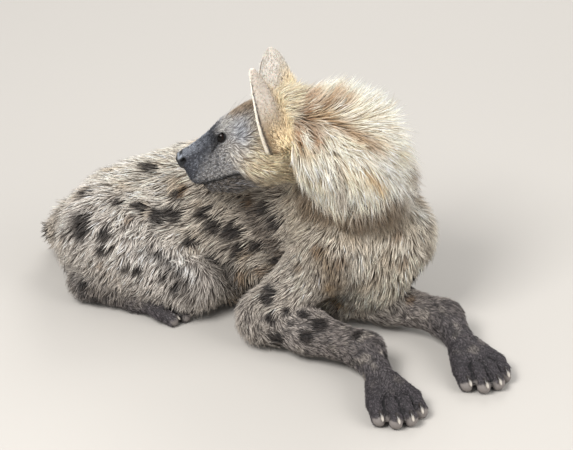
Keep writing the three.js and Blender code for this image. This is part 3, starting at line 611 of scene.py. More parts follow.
# Finer mesh: first over the whole face and the toes, then round the eyes, the nose and the lips.
TOE_TIPS = np.array([tip for name in PAWS for _, _, tip in toes(*PAWS[name][:4])])
TOE_FRONT = 34
FACE_FROM, FACE_HALF_WIDTH, FACE_HALF_HEIGHT = 86, 90, 130
EYE_NEAR, NOSE_FROM, LIPS_FROM, LIPS_NEAR = 34, 200, 104, 14
MOUTH_UP = -64
for fineness in (1, 2):
    centres = skin_points[skin_tris].mean(1)
    forward, left, up = head_place(centres).T
    on_face = (forward > FACE_FROM) & (np.abs(left) < FACE_HALF_WIDTH) & (np.abs(up) < FACE_HALF_HEIGHT)
    if fineness == 1:
        to_toe = np.linalg.norm(centres[:, None] - TOE_TIPS[None], axis=2).min(1)
        picked = on_face | (to_toe < TOE_FRONT)
    else:
        by_eye = np.abs(forward - EYE_FORWARD) + np.abs(up - EYE_UP) < EYE_NEAR
        by_lips = (forward > LIPS_FROM) & (np.abs(up - MOUTH_UP) < LIPS_NEAR)
        picked = on_face & (by_eye | (forward > NOSE_FROM) | by_lips)
    skin_points, skin_tris = refine(skin_points, skin_tris, picked)
    skin_points = settle(skin_points, depth_in, 0.8 * SKIN_CELL)

# Folds of the face, pressed into the skin along its slope: the line of the mouth between its lips,
# the nostrils, and the groove down the middle of the nose. Each is a line of points forward, left
# and up of the skull's back; a fold's sizes are its depth and half width, and the height, distance
# and half width of the swelling beside it.
MOUTH = ((214, 0), (206, 9), (196, 17), (176, 27), (152, 33), (128, 41), (112, 48))
NOSTRIL = ((231, 7, -2), (232, 10, -8), (229, 14, -12), (222, 17, -11), (216, 18, -8))
NOSE_GROOVE = ((229, 0, 2), (233, 0, -14), (229, 0, -34), (220, 0, -50))
LIP_SEAMS = (
    ((204, 14, -50), (184, 27, -52), (160, 36, -54)),
    ((196, 14, -78), (172, 22, -80), (150, 27, -84)),
)
MOUTH_FOLD = (4.5, 2.0, 1.6, 5.5, 3.0)
NOSTRIL_FOLD = (9, 4.4, 2.2, 8, 2.4)
SEAM_FOLD = (0.9, 2.2)
GROOVE_FOLD = (1.3, 1.3)


def smooth(value, low, high):
    """Goes softly from nought at low to one at high."""
    t = np.clip((value - low) / (high - low), 0, 1)
    return t * t * (3 - 2 * t)


def bell(value, half_width):
    """One at nought, falling off both ways: e to the minus square of value over half width."""
    return np.exp(-((value / half_width) ** 2))


def fold(p, line, deep, wide, swell=0.0, off=0.0, swell_wide=1.0):
    """A bell over the distance to a line laid on the skin, less a lower one for its swelling."""
    line = settle(np.array([on_head(*q) for q in line]), depth_in, 20, 5)
    away = near_line(p, line)
    return deep * bell(away, wide) - swell * bell(away - off, swell_wide)


def fold_depths(p):
    """How far each point is pressed in, in millimetres, by the folds of both sides."""
    mouth = [(f, l, MOUTH_UP) for f, l in MOUTH]
    folds = [(mouth, MOUTH_FOLD), *((seam, SEAM_FOLD) for seam in LIP_SEAMS), (NOSTRIL, NOSTRIL_FOLD)]
    depth = np.zeros(len(p))
    for side in BOTH:
        for line, sizes in folds:
            depth += fold(p, [(f, side * l, u) for f, l, u in line], *sizes)
    return depth + fold(p, NOSE_GROOVE, *GROOVE_FOLD)


FRONT_OF_HEAD = 110
TOE_GAP_DEPTH, TOE_GAP_HALF = 4.5, 5.5
skin_normals = unit(slope_at(skin_points, depth_in))
on_front = head_place(skin_points)[:, 0] > FRONT_OF_HEAD
pressed = np.zeros(len(skin_points))
pressed[on_front] = fold_depths(skin_points[on_front])


def toe_gap(p):
    """How near each point is to the gap between two toes: the nearest two are as far from it."""
    share = np.zeros(len(p))
    low = np.nonzero(p[:, 2] < 80)[0]
    for name in PAWS:
        bones = [limb(knuckle, tip, 0, 0)(p[low]) for _, knuckle, tip in toes(*PAWS[name][:4])]
        first, second = np.sort(bones, 0)[:2]
        gap = bell(second - first, TOE_GAP_HALF) * (1 - smooth(first, 20, 30))
        share[low] = np.maximum(share[low], gap)
    return share


pressed += TOE_GAP_DEPTH * toe_gap(skin_points)
skin_points = skin_points - skin_normals * pressed[:, None]
skin_points[:, 2] = np.maximum(skin_points[:, 2], FLOOR_CLEAR)

# Markings: dark brown spots with soft edges on a buff coat, trunk hair that is paler where it faces up,
# brown partings in the mane, and the dark mask of the muzzle, with painted shade and painted highlights
# among them. The same rules colour skin and hair. A spot is the pixel of the photograph at its middle, and
# its radius in millimetres. A streak is its half width in millimetres, the colours of root and tip, and the
# pixels that its line goes through.
SPOTS = (
    (82, 227, 23), (106, 234, 13), (104, 248, 12), (149, 169, 15), (140, 208, 12), (158, 217, 17),
    (176, 214, 17), (204, 212, 14), (216, 224, 18), (233, 230, 19), (192, 241, 16), (238, 247, 16),
    (268, 207, 13), (276, 222, 13), (257, 243, 13), (212, 258, 10), (128, 264, 9), (138, 268, 10),
    (175, 288, 9), (164, 276, 8), (87, 196, 11), (119, 203, 10), (271, 290, 12), (268, 300, 14),
    (271, 319, 10), (277, 338, 12), (319, 325, 15), (306, 337, 12), (356, 335, 10), (287, 311, 9),
    (303, 315, 9), (279, 260, 11), (84, 285, 11), (96, 298, 10), (68, 234, 9), (181, 194, 12),
)
BROWN_SPOTS = (
    (186, 190, 12), (252, 200, 12), (128, 219, 8), (104, 262, 8), (318, 250, 12), (395, 232, 14),
    (340, 262, 13), (402, 262, 12), (300, 268, 12), (262, 270, 12), (410, 300, 10), (240, 275, 9),
)
STREAKS = (
    (10, "#5f3d1e", "#a5774a", ((296, 98), (303, 108), (312, 124), (318, 142))),
    (8, "#6b4726", "#b08452", ((312, 104), (322, 116), (334, 128))),
    (8, "#5f3d1e", "#a5774a", ((303, 118), (300, 136), (306, 150))),
    (9, "#6b4726", "#b08452", ((326, 112), (334, 106), (344, 112))),
    (8, "#b08a5c", "#e3c290", ((366, 172), (372, 178), (376, 184))),
    (10, "#6b5334", "#b59468", ((328, 284), (334, 296), (346, 300))),
    # Painted highlight along the front edge of the thigh.
    (11, "#a5a09b", "#f1ece5", ((144, 253), (160, 258), (178, 268), (191, 277))),
    (13, "#a89c8b", "#f3eadb", ((300, 262), (300, 276), (303, 288))),
    (11, "#a89c8b", "#f3eadb", ((357, 256), (354, 270), (350, 282))),
    # Painted shadow under the ruff's edge.
    (13, "#3b2f24", "#84715b", ((306, 210), (326, 215), (350, 218), (374, 216), (388, 211))),
    (14, "#4b3e31", "#9c876c", ((322, 252), (330, 268), (338, 284))),
    # These two: dark spots that run together, and painted shade behind the elbow and under the ruff.
    (22, "#2a221d", "#64564a", ((252, 206), (262, 224), (274, 242), (282, 256))),
    (22, "#25201d", "#574f48", ((212, 262), (228, 276), (243, 294))),
    (9, "#5f4630", "#ad8a62", ((338, 127), (352, 136), (364, 145), (374, 151))),
    (6, "#7d766f", "#b9b0a4", ((340, 165), (342, 180), (344, 197))),
    # The ruff's cream, made paler still as painted light where it faces away from the lamps.
    (17, "#ecdcc0", "#fffaf0", ((378, 160), (392, 180), (408, 204), (418, 216))),
    (15, "#b3a48b", "#f7eedd", ((431, 238), (430, 254), (426, 270))),
    # Painted shade in the fold along the front of the thigh.
    (9, "#2b2624", "#5c534c", ((150, 250), (166, 262), (184, 284), (190, 300))),
    (9, "#332c28", "#6b6159", ((92, 300), (112, 306), (136, 314))),
)
SPOT_SEED = 4117
SEEN_SPOTS_GROW = 1.2
HIDDEN_SPOTS, HIDDEN_LEAST, HIDDEN_MOST, HIDDEN_GAP = 90, 9, 18, 20


def seen_points(x, y):
    """Where the rays through pixels of the photograph meet the skin: each walks by the distance."""
    ray = ray_through(x, y)
    p = camera_at + ray * (CAMERA_AWAY - 900)
    for _ in range(60):
        p = p + ray * np.clip(depth_in(p), -20, 60)[:, None]
    return p


def ripple(p, size, seed):
    """Smooth noise from about -1 to 1: the mean of sines whose waves are about as long as size."""
    draw = np.random.default_rng(seed)
    waves = unit(draw.normal(size=(7, 3))) * (2 * math.pi / size) * draw.uniform(0.6, 1.5, (7, 1))
    return np.sin(p @ waves.T + draw.uniform(0, 2 * math.pi, 7)).mean(1) * 1.9


def spot_table():
    """Centres and radii of the dark spots: those that the photograph shows, and on the other side
    seeded ones that keep a spot's width between them."""
    x, y, r = np.array(SPOTS, float).T
    centres, radii = seen_points(x, y), SEEN_SPOTS_GROW * r
    draw = np.random.default_rng(SPOT_SEED)
    on_body = (skin_points[:, 0] < 250) & (skin_points[:, 2] > 45) & (skin_points[:, 2] < 300)
    hidden = skin_points[on_body & (skin_normals @ camera_back < 0.12)]
    for p in hidden[draw.permutation(len(hidden))[:4000]]:
        radius = draw.uniform(HIDDEN_LEAST, HIDDEN_MOST)
        apart = np.linalg.norm(centres - p, axis=1) - radii - radius
        if apart.min() > HIDDEN_GAP and len(centres) < len(x) + HIDDEN_SPOTS:
            centres = np.vstack([centres, p])
            radii = np.append(radii, radius)
    return centres, radii


SPOT_CENTRES, SPOT_RADII = spot_table()
BROWN_CENTRES = seen_points(*np.array(BROWN_SPOTS, float).T[:2])
BROWN_RADII = np.array(BROWN_SPOTS, float)[:, 2]
STREAK_LINES = [seen_points(*np.array(line, float).T) for *_, line in STREAKS]


def spot_share(p, centres, radii, ragged):
    """How much of the spots' colour each point takes: one inside, nought outside, with an edge
    that the noise makes uneven."""
    share = np.zeros(len(p))
    for centre, radius in zip(centres, radii):
        away = np.linalg.norm(p - centre, axis=1) / radius + ragged
        share = np.maximum(share, 1 - smooth(away, 0.62, 1.22))
    return share


NECK_STEPS = 60
NECK_LINE = np.array([*NECK, SKULL + 14 * HEAD_FORWARD])
CREST_AT_BASE = np.array([-0.1, 0.85, 0.5])


def neck_frame(p):
    """For points near the neck: share of the way from the breast to the skull, and how squarely
    each lies under the crest, from -1 at the throat to 1 at the crest."""
    t = np.linspace(0, len(NECK_LINE) - 1, NECK_STEPS)
    line = np.stack([np.interp(t, range(len(NECK_LINE)), NECK_LINE[:, k]) for k in range(3)], 1)
    nearest = np.argmin(((p[:, None] - line[None]) ** 2).sum(2), 1)
    share = nearest / (NECK_STEPS - 1)
    ahead = unit(np.gradient(line, axis=0))[nearest]
    crest = CREST_AT_BASE + share[:, None] * (HEAD_UP - CREST_AT_BASE)
    crest = unit(crest - ahead * (crest * ahead).sum(1, keepdims=True))
    out = p - line[nearest]
    out = unit(out - ahead * (out * ahead).sum(1, keepdims=True))
    return share, (out * crest).sum(1), crest


FORM_COATS = [COATS[f.coat] for f in BODY]
ROOT_COLOURS = linear([c.root for c in FORM_COATS])
TIP_COLOURS = linear([c.tip for c in FORM_COATS])


def form_weights(p):
    """How much each form of the body counts at each point: it falls off with the distance."""
    weights = np.stack([np.exp(-np.clip(f.skin(p), 0, 200) / f.fade) for f in BODY], 1)
    weights[:, [f.hollow for f in BODY]] = 0
    return weights / np.maximum(weights.sum(1, keepdims=True), 1e-9)


def share_of(weights, kind, *names):
    """Sum of the weights of the forms whose part or coat is one of the names."""
    return weights[:, [getattr(f, kind) in names for f in BODY]].sum(1)


def mixed(a, b, share):
    """Rows that go from a to b with the share of each."""
    return a + (b - a) * share[:, None]


def coat_colours(p, n, weights):
    """Linear colours of the hair's root and tip at each point of the skin: the coats' own, which
    each line then takes some way toward new ones, by its share of the place and at most so far."""
    root, tip = weights @ ROOT_COLOURS, weights @ TIP_COLOURS

    def toward(share, new_root, new_tip, most=1.0):
        nonlocal root, tip
        root = mixed(root, linear(new_root), most * share)
        tip = mixed(tip, linear(new_tip), most * share)

    uneven = ripple(p, 60, 3)
    forward, left, up = head_place(p).T
    head = smooth(share_of(weights, "part", "head"), 0.35, 0.75)
    on_neck = share_of(weights, "part", "neck")
    on_trunk = share_of(weights, "part", "rump", "flank")

    # Trunk: paler where the skin faces up, painted shade low down towards the floor, brown mottling.
    toward(on_trunk * smooth(n[:, 2] + 0.12 * uneven, 0.55, 0.95), "#b3a590", "#f7eddd", 0.7)
    toward(on_trunk * (1 - smooth(p[:, 2] + 14 * uneven, 40, 130)), "#2f2a27", "#8d8479", 0.6)
    toward(smooth(ripple(p, 46, 8), 0.35, 0.9) * on_trunk, "#6b5136", "#c2a680", 0.4)

    # Mane and chest: golden patches, cream crest, a brown painted shadow below the ruff's edge.
    along, under_crest, _ = neck_frame(p)
    golden = smooth(ripple(p, 55, 9), 0.0, 0.9) * (0.32 + 0.5 * smooth(along, 0.55, 0.9))
    toward(on_neck * golden, "#cda671", "#f7d9a8")
    toward(on_neck * smooth(under_crest, 0.55, 0.95), "#e3cda6", "#fff5e2", 0.5)
    # Painted shadow where the ruff hangs over the shoulder: low on the neck, away from the crest.
    low_on_neck = 1 - smooth(along + 0.03 * ripple(p, 30, 20), 0.25, 0.33)
    ruff_shadow = smooth(on_neck, 0.15, 0.5) * low_on_neck * (1 - smooth(under_crest, 0, 0.5))
    high_up = smooth(p[:, 2] + 10 * ripple(p, 40, 23), 232, 278)
    toward(ruff_shadow * (0.35 + 0.65 * high_up), "#3a2e24", "#84715b", 0.9)
    on_chest = share_of(weights, "part", "chest")
    toward(on_chest * smooth(ripple(p, 52, 18), 0.0, 0.8), "#44372b", "#97846d", 0.65)
    toward(on_chest * smooth(ripple(p, 44, 19), 0.2, 0.9), "#8f8271", "#f6efe2", 0.6)

    # Legs: pale and dark mottling. Then the streaks, all but on the head.
    on_limb = share_of(weights, "coat", "forearm", "wrist", "paw")
    toward(on_limb * smooth(ripple(p, 34, 16), 0.15, 0.9), "#5a504a", "#c9bfb2", 0.6)
    toward(on_limb * smooth(ripple(p, 22, 17), 0.2, 0.9), "#1a1718", "#3a3433", 0.7)
    on_fur = smooth(1 - 0.9 * head, 0.1, 0.4)
    for line, (reach, dark, light, _) in zip(STREAK_LINES, STREAKS):
        toward(bell(near_line(p, line), reach + 2 * uneven) * on_fur, dark, light, 0.85)

    # Face: grey cheeks with a bluish patch, brown crown, golden jowl and nape, pale brow.
    toward(head * smooth(forward, 40, 78), "#85807c", "#e2deda", 0.75)
    flecked = smooth(forward, 120, 150) * smooth(ripple(p, 7, 13), -0.1, 0.6)
    toward(head * flecked, "#3c3b3d", "#7a7879", 0.7)
    blue = head * bell(forward - 74, 24) * bell(up - 6, 22)
    toward(blue, "#7b7f8a", "#c9ced8", 0.7)
    toward(head * smooth(up, 26, 42) * (1 - smooth(forward, 96, 118)), "#4d3c2a", "#a88f70", 0.85)
    gold = head * smooth(-up, 8, 60) * (1 - smooth(forward + 0.3 * up, 62, 100))
    toward(gold, "#b2976f", "#f3debb", 0.8)
    nape = head * (1 - smooth(forward, 2, 30)) * smooth(up, -30, 10)
    toward(nape, "#c8a878", "#fbe8c8", 0.9)
    brow = bell(forward - 108, 15) * bell(up - 32, 9) * smooth(np.abs(left), 12, 22)
    toward(head * brow, "#a8a39b", "#efebe4")

    # Mask: charcoal muzzle with a paler bridge that carries a painted highlight, grizzled sides, brown
    # chin and black lips.
    mask_edge = 134 + 1.25 * np.clip(12 - up, 0, 60) + 4 * uneven + 6 * ripple(p, 8, 12)
    toward(head * smooth(forward, mask_edge - 30, mask_edge + 16), "#25262b", "#5b5d66")
    # Paler grey hair on top of the muzzle, with a painted highlight that grows towards the nose.
    bridge_and_highlight = head * smooth(up + 0.12 * (forward - 140), 0, 14) * smooth(forward, 132, 165)
    toward(bridge_and_highlight, "#4b4d54", "#92969f", 0.8)
    toward(bridge_and_highlight * smooth(forward, 165, 195), "#70747d", "#bcc0c8", 0.7)
    chin = head * smooth(-up, 62, 68) * smooth(forward, 84, 120)
    toward(chin, "#3a3532", "#857c73")
    grizzled = head * smooth(forward, 100, 128) * (1 - smooth(forward, 206, 214))
    toward(grizzled * smooth(ripple(p, 5.5, 14), 0.2, 0.8), "#6d7078", "#bcbfc6", 0.5)
    toward(grizzled * smooth(ripple(p, 8, 15), 0.15, 0.8), "#131316", "#26272b", 0.7)
    lip = head * bell(up - MOUTH_UP - 1.5, 3.8) * smooth(forward, 98, 112)
    toward(lip, "#151415", "#2b292a", 0.95)

    # Eye: painted shade in front of it, black round its rim, with a tear line that runs down the muzzle.
    shade_before_eye = bell(forward - EYE_FORWARD - 17, 16) * bell(up - EYE_UP - 1, 15)
    toward(head * shade_before_eye, "#101114", "#2a2c32", 0.88)
    round_eye = np.hypot((forward - EYE_FORWARD - 1) / 15, (up - EYE_UP) / 11)
    tear = bell(up - EYE_UP + 0.6 * (forward - EYE_FORWARD), 4.5)
    tear = tear * smooth(forward, EYE_FORWARD, EYE_FORWARD + 8) * (1 - smooth(forward, 150, 165))
    beside = smooth(np.abs(left), 18, 24) * head
    toward(beside * np.maximum(1 - smooth(round_eye, 0.6, 0.95), 0.95 * tear), "#0c0c0e", "#18191d")

    ragged = 0.16 * ripple(p, 22, 5) + 0.1 * ripple(p, 9, 6)
    toward(spot_share(p, SPOT_CENTRES, SPOT_RADII, ragged) * (1 - head), "#151110", "#2f2723", 0.96)
    toward(spot_share(p, BROWN_CENTRES, BROWN_RADII, ragged) * (1 - head), "#3f2c1d", "#8a6f52", 0.65)
    return root, tip


TOE_LOOK = []
for name in PAWS:
    ahead = np.array(PAWS[name][1], float)
    TOE_LOOK += [(tip, ahead, PAWS[name][2]) for _, _, tip in toes(*PAWS[name][:4])]


def bare_share(p):
    """Where the skin of the toes' fronts is bare: low on the front of each toe."""
    share = np.zeros(len(p))
    for tip, ahead, size in TOE_LOOK:
        q = (p - tip) / size
        front = smooth(q @ ahead + 0.5 * q[:, 2], -2, 6) * (1 - smooth(np.linalg.norm(q, axis=1), 20, 26))
        share = np.maximum(share, front * (1 - smooth(q[:, 2] - 0.5 * (q @ ahead - 12), 7, 13)))
    return share


def nose_share(p):
    """Where the bare leather of the nose is: round the nostrils, and a strip down to the lip."""
    forward, left, up = head_place(p).T
    pad = smooth(forward + 0.2 * np.minimum(up, 0), 214, 217) * smooth(up, -26, -22)
    pad = pad * (1 - smooth(np.abs(left), 19, 22))
    strip = smooth(forward, 214, 217) * smooth(up, -52, -48) * (1 - smooth(np.abs(left), 3, 6))
    return np.maximum(pad, strip)


skin_weights = form_weights(skin_points)
skin_root, skin_tip = coat_colours(skin_points, skin_normals, skin_weights)
# The skin takes its colour from near the hair's root, and darker, as it lies in the hair's shade.
UNDER_HAIR = 0.62
skin_colour = mixed(skin_root, skin_tip, np.full(len(skin_points), 0.25)) * UNDER_HAIR
skin_colour = mixed(skin_colour, linear("#7f7874"), bare_share(skin_points))
# Painted shade in the gaps between the toes.
skin_colour = mixed(skin_colour, linear("#070606"), np.clip(1.3 * toe_gap(skin_points), 0, 1))
skin_colour = mixed(skin_colour, linear("#17171a"), nose_share(skin_points))
# Painted shade: the skin is darkened where folds press it in, as in the line of the mouth, the seams of the
# lips, the groove of the nose and the nostrils.
fold_shade = np.zeros(len(skin_points))
fold_shade[on_front] = smooth(pressed[on_front], 1.0, 3.0)
skin_colour = mixed(skin_colour, linear("#0b0a0b"), fold_shade)

# Hide: the dry skin under the hair, with fine creases and pores about a millimetre apart. It is
# matt and dark, so it shows only as depth between the tufts, and as the bare fronts of the toes.
HIDE_PORES = 1.11
hide, tree, shader = new_material("hide_under_hair")
colour = add_node(tree, "ShaderNodeAttribute", {"attribute_name": "Coat"})
where = add_node(tree, "ShaderNodeTexCoord")
grain = add_node(
    tree, "ShaderNodeTexNoise",
    Vector=where.outputs["Object"], Scale=1 / (HIDE_PORES * MM), Detail=3.0,
)
uneven = add_node(tree, "ShaderNodeMapRange", _0=grain.outputs["Fac"], _3=0.82, _4=1.15)
tinted = add_node(
    tree, "ShaderNodeVectorMath", {"operation": "SCALE"},
    Vector=colour.outputs["Color"], Scale=uneven.outputs["Result"],
)
bump = add_node(tree, "ShaderNodeBump", Height=grain.outputs["Fac"], Strength=0.35, Distance=0.0006)
tree.links.new(tinted.outputs["Vector"], shader.inputs["Base Color"])
tree.links.new(bump.outputs["Normal"], shader.inputs["Normal"])
shader.inputs["Roughness"].default_value = 0.72
shader.inputs["Specular IOR Level"].default_value = 0.35

face_middle = skin_points[skin_tris].mean(1)
skin = mesh_object("skin", skin_points, skin_tris, hide)
set_colour(skin, "Coat", skin_colour)
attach(skin, "root")
NOT_SKIN = {"claw", "eye", "ear", "nose"}
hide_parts(*(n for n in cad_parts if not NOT_SKIN & set(n.split("_"))))

# Nose: bare, moist leather that is one with the skin round it, black with a fine net of grooves
# about a millimetre across. The moisture gives small glints. A pale rim over each nostril is a painted
# highlight, and the nostrils and the grooves are painted darker as shade.
NOSE_NET = 1.11
leather, tree, shader = new_material("nose_leather")
where = add_node(tree, "ShaderNodeTexCoord")
cells = add_node(
    tree, "ShaderNodeTexVoronoi", {"feature": "DISTANCE_TO_EDGE"},
    Vector=where.outputs["Object"], Scale=1 / (NOSE_NET * MM),
)
groove = add_node(tree, "ShaderNodeMapRange", _0=cells.outputs["Distance"], _2=0.25)
# Painted shade: the colour is darker in the grooves of the net.
shade = add_node(tree, "ShaderNodeMapRange", _0=groove.outputs["Result"], _3=0.5, _4=1.1)
colour = add_node(tree, "ShaderNodeAttribute", {"attribute_name": "Leather"})
tinted = add_node(
    tree, "ShaderNodeVectorMath", {"operation": "SCALE"},
    Vector=colour.outputs["Color"], Scale=shade.outputs["Result"],
)
bump = add_node(tree, "ShaderNodeBump", Height=groove.outputs["Result"], Strength=0.5, Distance=0.0004)
tree.links.new(tinted.outputs["Vector"], shader.inputs["Base Color"])
tree.links.new(bump.outputs["Normal"], shader.inputs["Normal"])
shader.inputs["Roughness"].default_value = 0.3
NOSE_OUT, NOSE_IN = 0.45, 1.2


def patch(picked, out, inward):
    """The picked faces of the skin as a closed leaf: a copy lifted outward, a copy sunk inward and
    turned round, and a wall along each side that only one picked face has."""
    used, faces = np.unique(skin_tris[picked], return_inverse=True)
    faces = faces.reshape(-1, 3)
    points, normals, number = skin_points[used], skin_normals[used], len(used)
    sides = faces[:, [[0, 1], [1, 2], [2, 0]]].reshape(-1, 2)
    low, high = sides.min(1), sides.max(1)
    _, place, times = np.unique(low * number + high, return_index=True, return_counts=True)
    a, b = sides[place[times == 1]].T
    walls = np.concatenate([np.stack([b, a, a + number], 1), np.stack([b, a + number, b + number], 1)])
    both = np.concatenate([points + normals * out, points - normals * inward])
    return both, np.concatenate([faces, faces[:, ::-1] + number, walls])


nose_points, nose_faces = patch(nose_share(face_middle) > 0.5, NOSE_OUT, NOSE_IN)
nose = mesh_object("nose_leather", nose_points, nose_faces, leather)
nostrils = [np.array([on_head(f, side * l, u) for f, l, u in NOSTRIL]) for side in BOTH]
to_nostril = np.minimum(*(near_line(nose_points, line) for line in nostrils))
forward, _, up = head_place(nose_points).T
# Painted highlight: a pale rim over each nostril.
nostril_highlight = bell(to_nostril - 9, 2.6) * smooth(up, -9, 0) * (1 - smooth(forward, 225, 231))
nose_colour = mixed(linear(["#1b1c1f"] * len(nose_points)), linear("#9da3ad"), nostril_highlight)
# Painted shade: black inside the nostrils.
set_colour(nose, "Leather", mixed(nose_colour, linear("#030303"), 1 - smooth(to_nostril, 3.5, 6)))
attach(nose, "root")
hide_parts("nose")


def tube(rings):
    """Rings of points as one closed mesh: a point in the middle of the first ring and of the last
    closes each end with a fan."""
    rows, columns = rings.shape[:2]
    points = np.concatenate([rings.reshape(-1, 3), rings[0].mean(0)[None], rings[-1].mean(0)[None]])
    r, c = np.meshgrid(np.arange(rows - 1) * columns, np.arange(columns), indexing="ij")
    a, b = (r + c).ravel(), (r + (c + 1) % columns).ravel()
    side = np.concatenate([np.stack([a, b, b + columns], 1), np.stack([a, b + columns, a + columns], 1)])
    k = np.arange(columns)
    after, last = (k + 1) % columns, (rows - 1) * columns
    low = np.stack([after, k, np.full(columns, rows * columns)], 1)
    high = np.stack([last + k, last + after, np.full(columns, rows * columns + 1)], 1)
    return points, np.concatenate([side, low, high])


def with_ends(values):
    """Values of a tube's rings, with those of its two end points added."""
    return np.concatenate([values.reshape(-1, values.shape[-1]), values[0, :1], values[-1, :1]])


# Eyes: one closed ball each, with a dark brown iris round a wide pupil and the cornea's low swelling.
# It is wet, so it gives one sharp highlight. Each sits in its socket, where the solids have it, and
# looks ahead and outward.
EYE_RINGS, EYE_SIDES = 40, 48
IRIS = 8.6
PUPIL = 4.4
wet_eye, tree, shader = new_material("wet_eyeball")
colour = add_node(tree, "ShaderNodeAttribute", {"attribute_name": "Eye"})
tree.links.new(colour.outputs["Color"], shader.inputs["Base Color"])
shader.inputs["Roughness"].default_value = 0.06
shader.inputs["IOR"].default_value = 1.24
shader.inputs["Coat Weight"].default_value = 0.08
shader.inputs["Coat Roughness"].default_value = 0.02


def eyeball(side, name):
    """A ball whose cornea swells: polar rings about the line of sight, each a circle."""
    gaze = unit(0.42 * HEAD_FORWARD + side * HEAD_LEFT + 0.05 * HEAD_UP)
    across = unit(np.cross(gaze, HEAD_UP))
    above = np.cross(across, gaze)
    polar = np.linspace(0.03, math.pi - 0.03, EYE_RINGS)[:, None]
    turn = np.linspace(0, 2 * math.pi, EYE_SIDES, endpoint=False)[None]
    cornea = 0.7 * np.exp(-((np.sin(polar) * EYE_RADIUS / IRIS) ** 4)) * (np.cos(polar) > 0)
    radius = EYE_RADIUS + cornea - 0.35
    out = np.sin(polar)[..., None] * (np.cos(turn)[..., None] * across + np.sin(turn)[..., None] * above)
    centre = on_head(EYE_FORWARD, side * EYE_LEFT, EYE_UP)
    rings = centre + radius[..., None] * (out + np.cos(polar)[..., None] * gaze)
    away = np.where(np.cos(polar) > 0, np.sin(polar) * EYE_RADIUS, 100) + 0 * turn
    streak = 0.5 + 0.5 * np.sin(turn * 23 + 2 * np.sin(turn * 7))
    share = (streak * smooth(away, PUPIL, IRIS))[..., None]
    shade = linear("#0e0806") * (1 - share) + linear("#2a180c") * share
    rim = smooth(away, IRIS - 0.8, IRIS + 0.3)[..., None]
    dark = (1 - smooth(away, PUPIL - 0.4, PUPIL + 0.4))[..., None]
    shade = shade * (1 - rim) + linear("#120d0b") * rim
    shade = shade * (1 - dark) + linear("#020202") * dark
    piece = mesh_object(f"{name}_eyeball", *tube(rings), wet_eye)
    set_colour(piece, "Eye", with_ends(shade))
    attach(piece, "root")
    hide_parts(f"{name}_eye")


SIDE_NAMES = ((1, "left"), (-1, "right"))
for side, name in SIDE_NAMES:
    eyeball(side, name)

# Eyelids: black naked rims of the hide, which follow the ball and run out into the skin round the
# socket. They share the hide's matt finish, and where they meet the coat they take its colours, darkened
# as painted shade of the hair.
LID_AROUND = 64
LID_FRONT, LID_BACK, LID_TOP, LID_BOTTOM, LID_TURN = 14.0, 11.0, 7.2, 6.0, math.radians(-40)
# How much wider than the opening each ring is, and how far over the ball and over the skin.
LID_RINGS = (
    (0.84, -3, 0), (0.93, 0.1, 0), (1.0, 1.0, 0), (1.1, 1.6, 0.6),
    (1.22, 1.7, 0.8), (1.38, 1.4, 0.6), (1.6, 0, 0.1), (1.9, 0, -2.5),
)
# Black of the bare rims, and the share of the coat's colour kept as painted shade of the hair.
LID_BLACK, LID_HAIR_SHADE = "#060607", 0.6


def eyelids(side, name):
    """Rings that widen from the almond of the opening, whose corner lies low at the front: each
    follows the ball at its own height, and the outer ones sink into the skin."""
    turn = np.linspace(0, 2 * math.pi, LID_AROUND, endpoint=False)
    c, s = np.cos(turn), np.sin(turn)
    ahead = c * np.where(c > 0, LID_FRONT, LID_BACK)
    above = s * np.where(s > 0, LID_TOP, LID_BOTTOM) * (1 - np.abs(ahead) / 26)
    ahead, above = (
        ahead * math.cos(LID_TURN) - above * math.sin(LID_TURN),
        ahead * math.sin(LID_TURN) + above * math.cos(LID_TURN),
    )
    rings = []
    for grow, over_ball, over_skin in LID_RINGS:
        f, u = ahead * grow, above * grow
        left = np.sqrt(np.maximum((EYE_RADIUS + over_ball) ** 2 - f**2 - u**2, 0))
        ball = on_head(EYE_FORWARD + f, side * (EYE_LEFT + left), EYE_UP + u)
        start = on_head(EYE_FORWARD + f, side * (EYE_LEFT + 8), EYE_UP + u)
        hide_at = settle(start, depth_in, 25, 4)
        hide_at += unit(slope_at(hide_at, depth_in)) * over_skin
        rings.append(mixed(ball, hide_at, smooth(grow + 0 * f, 1.0, 1.55)))
    rings = np.array(rings)
    tone = smooth(np.array(LID_RINGS)[:, :1] + 0 * turn, 1.05, 1.5)[..., None]
    places = rings.reshape(-1, 3)
    _, furred = coat_colours(places, unit(slope_at(places, depth_in)), form_weights(places))
    piece = mesh_object(f"{name}_eyelids", *tube(rings), hide)
    shade = linear(LID_BLACK) * (1 - tone) + LID_HAIR_SHADE * furred.reshape(rings.shape) * tone
    set_colour(piece, "Coat", with_ends(shade))
    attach(piece, "root")


for side, name in SIDE_NAMES:
    eyelids(side, name)

# Ears: large round cups of thin cartilage under skin, open at the front, with a rolled pale rim.
# The left one opens forward and the right one outward. Light shines into the thin wall a little,
# which softens its shadows, and the skin's grain is under a millimetre.
EAR_HEIGHT, EAR_WIDTH, EAR_DEPTH, EAR_BEND, EAR_WALL = 142, 86, 68, 1.35, 3.0
EAR_OPENS = {1: (0.97, -0.1), -1: (0.45, 0.89)}
EAR_ROWS, EAR_COLUMNS = 64, 44
EAR_FOOT, EAR_LOBE = 0.3, 0.12
EAR_GRAIN = 0.83


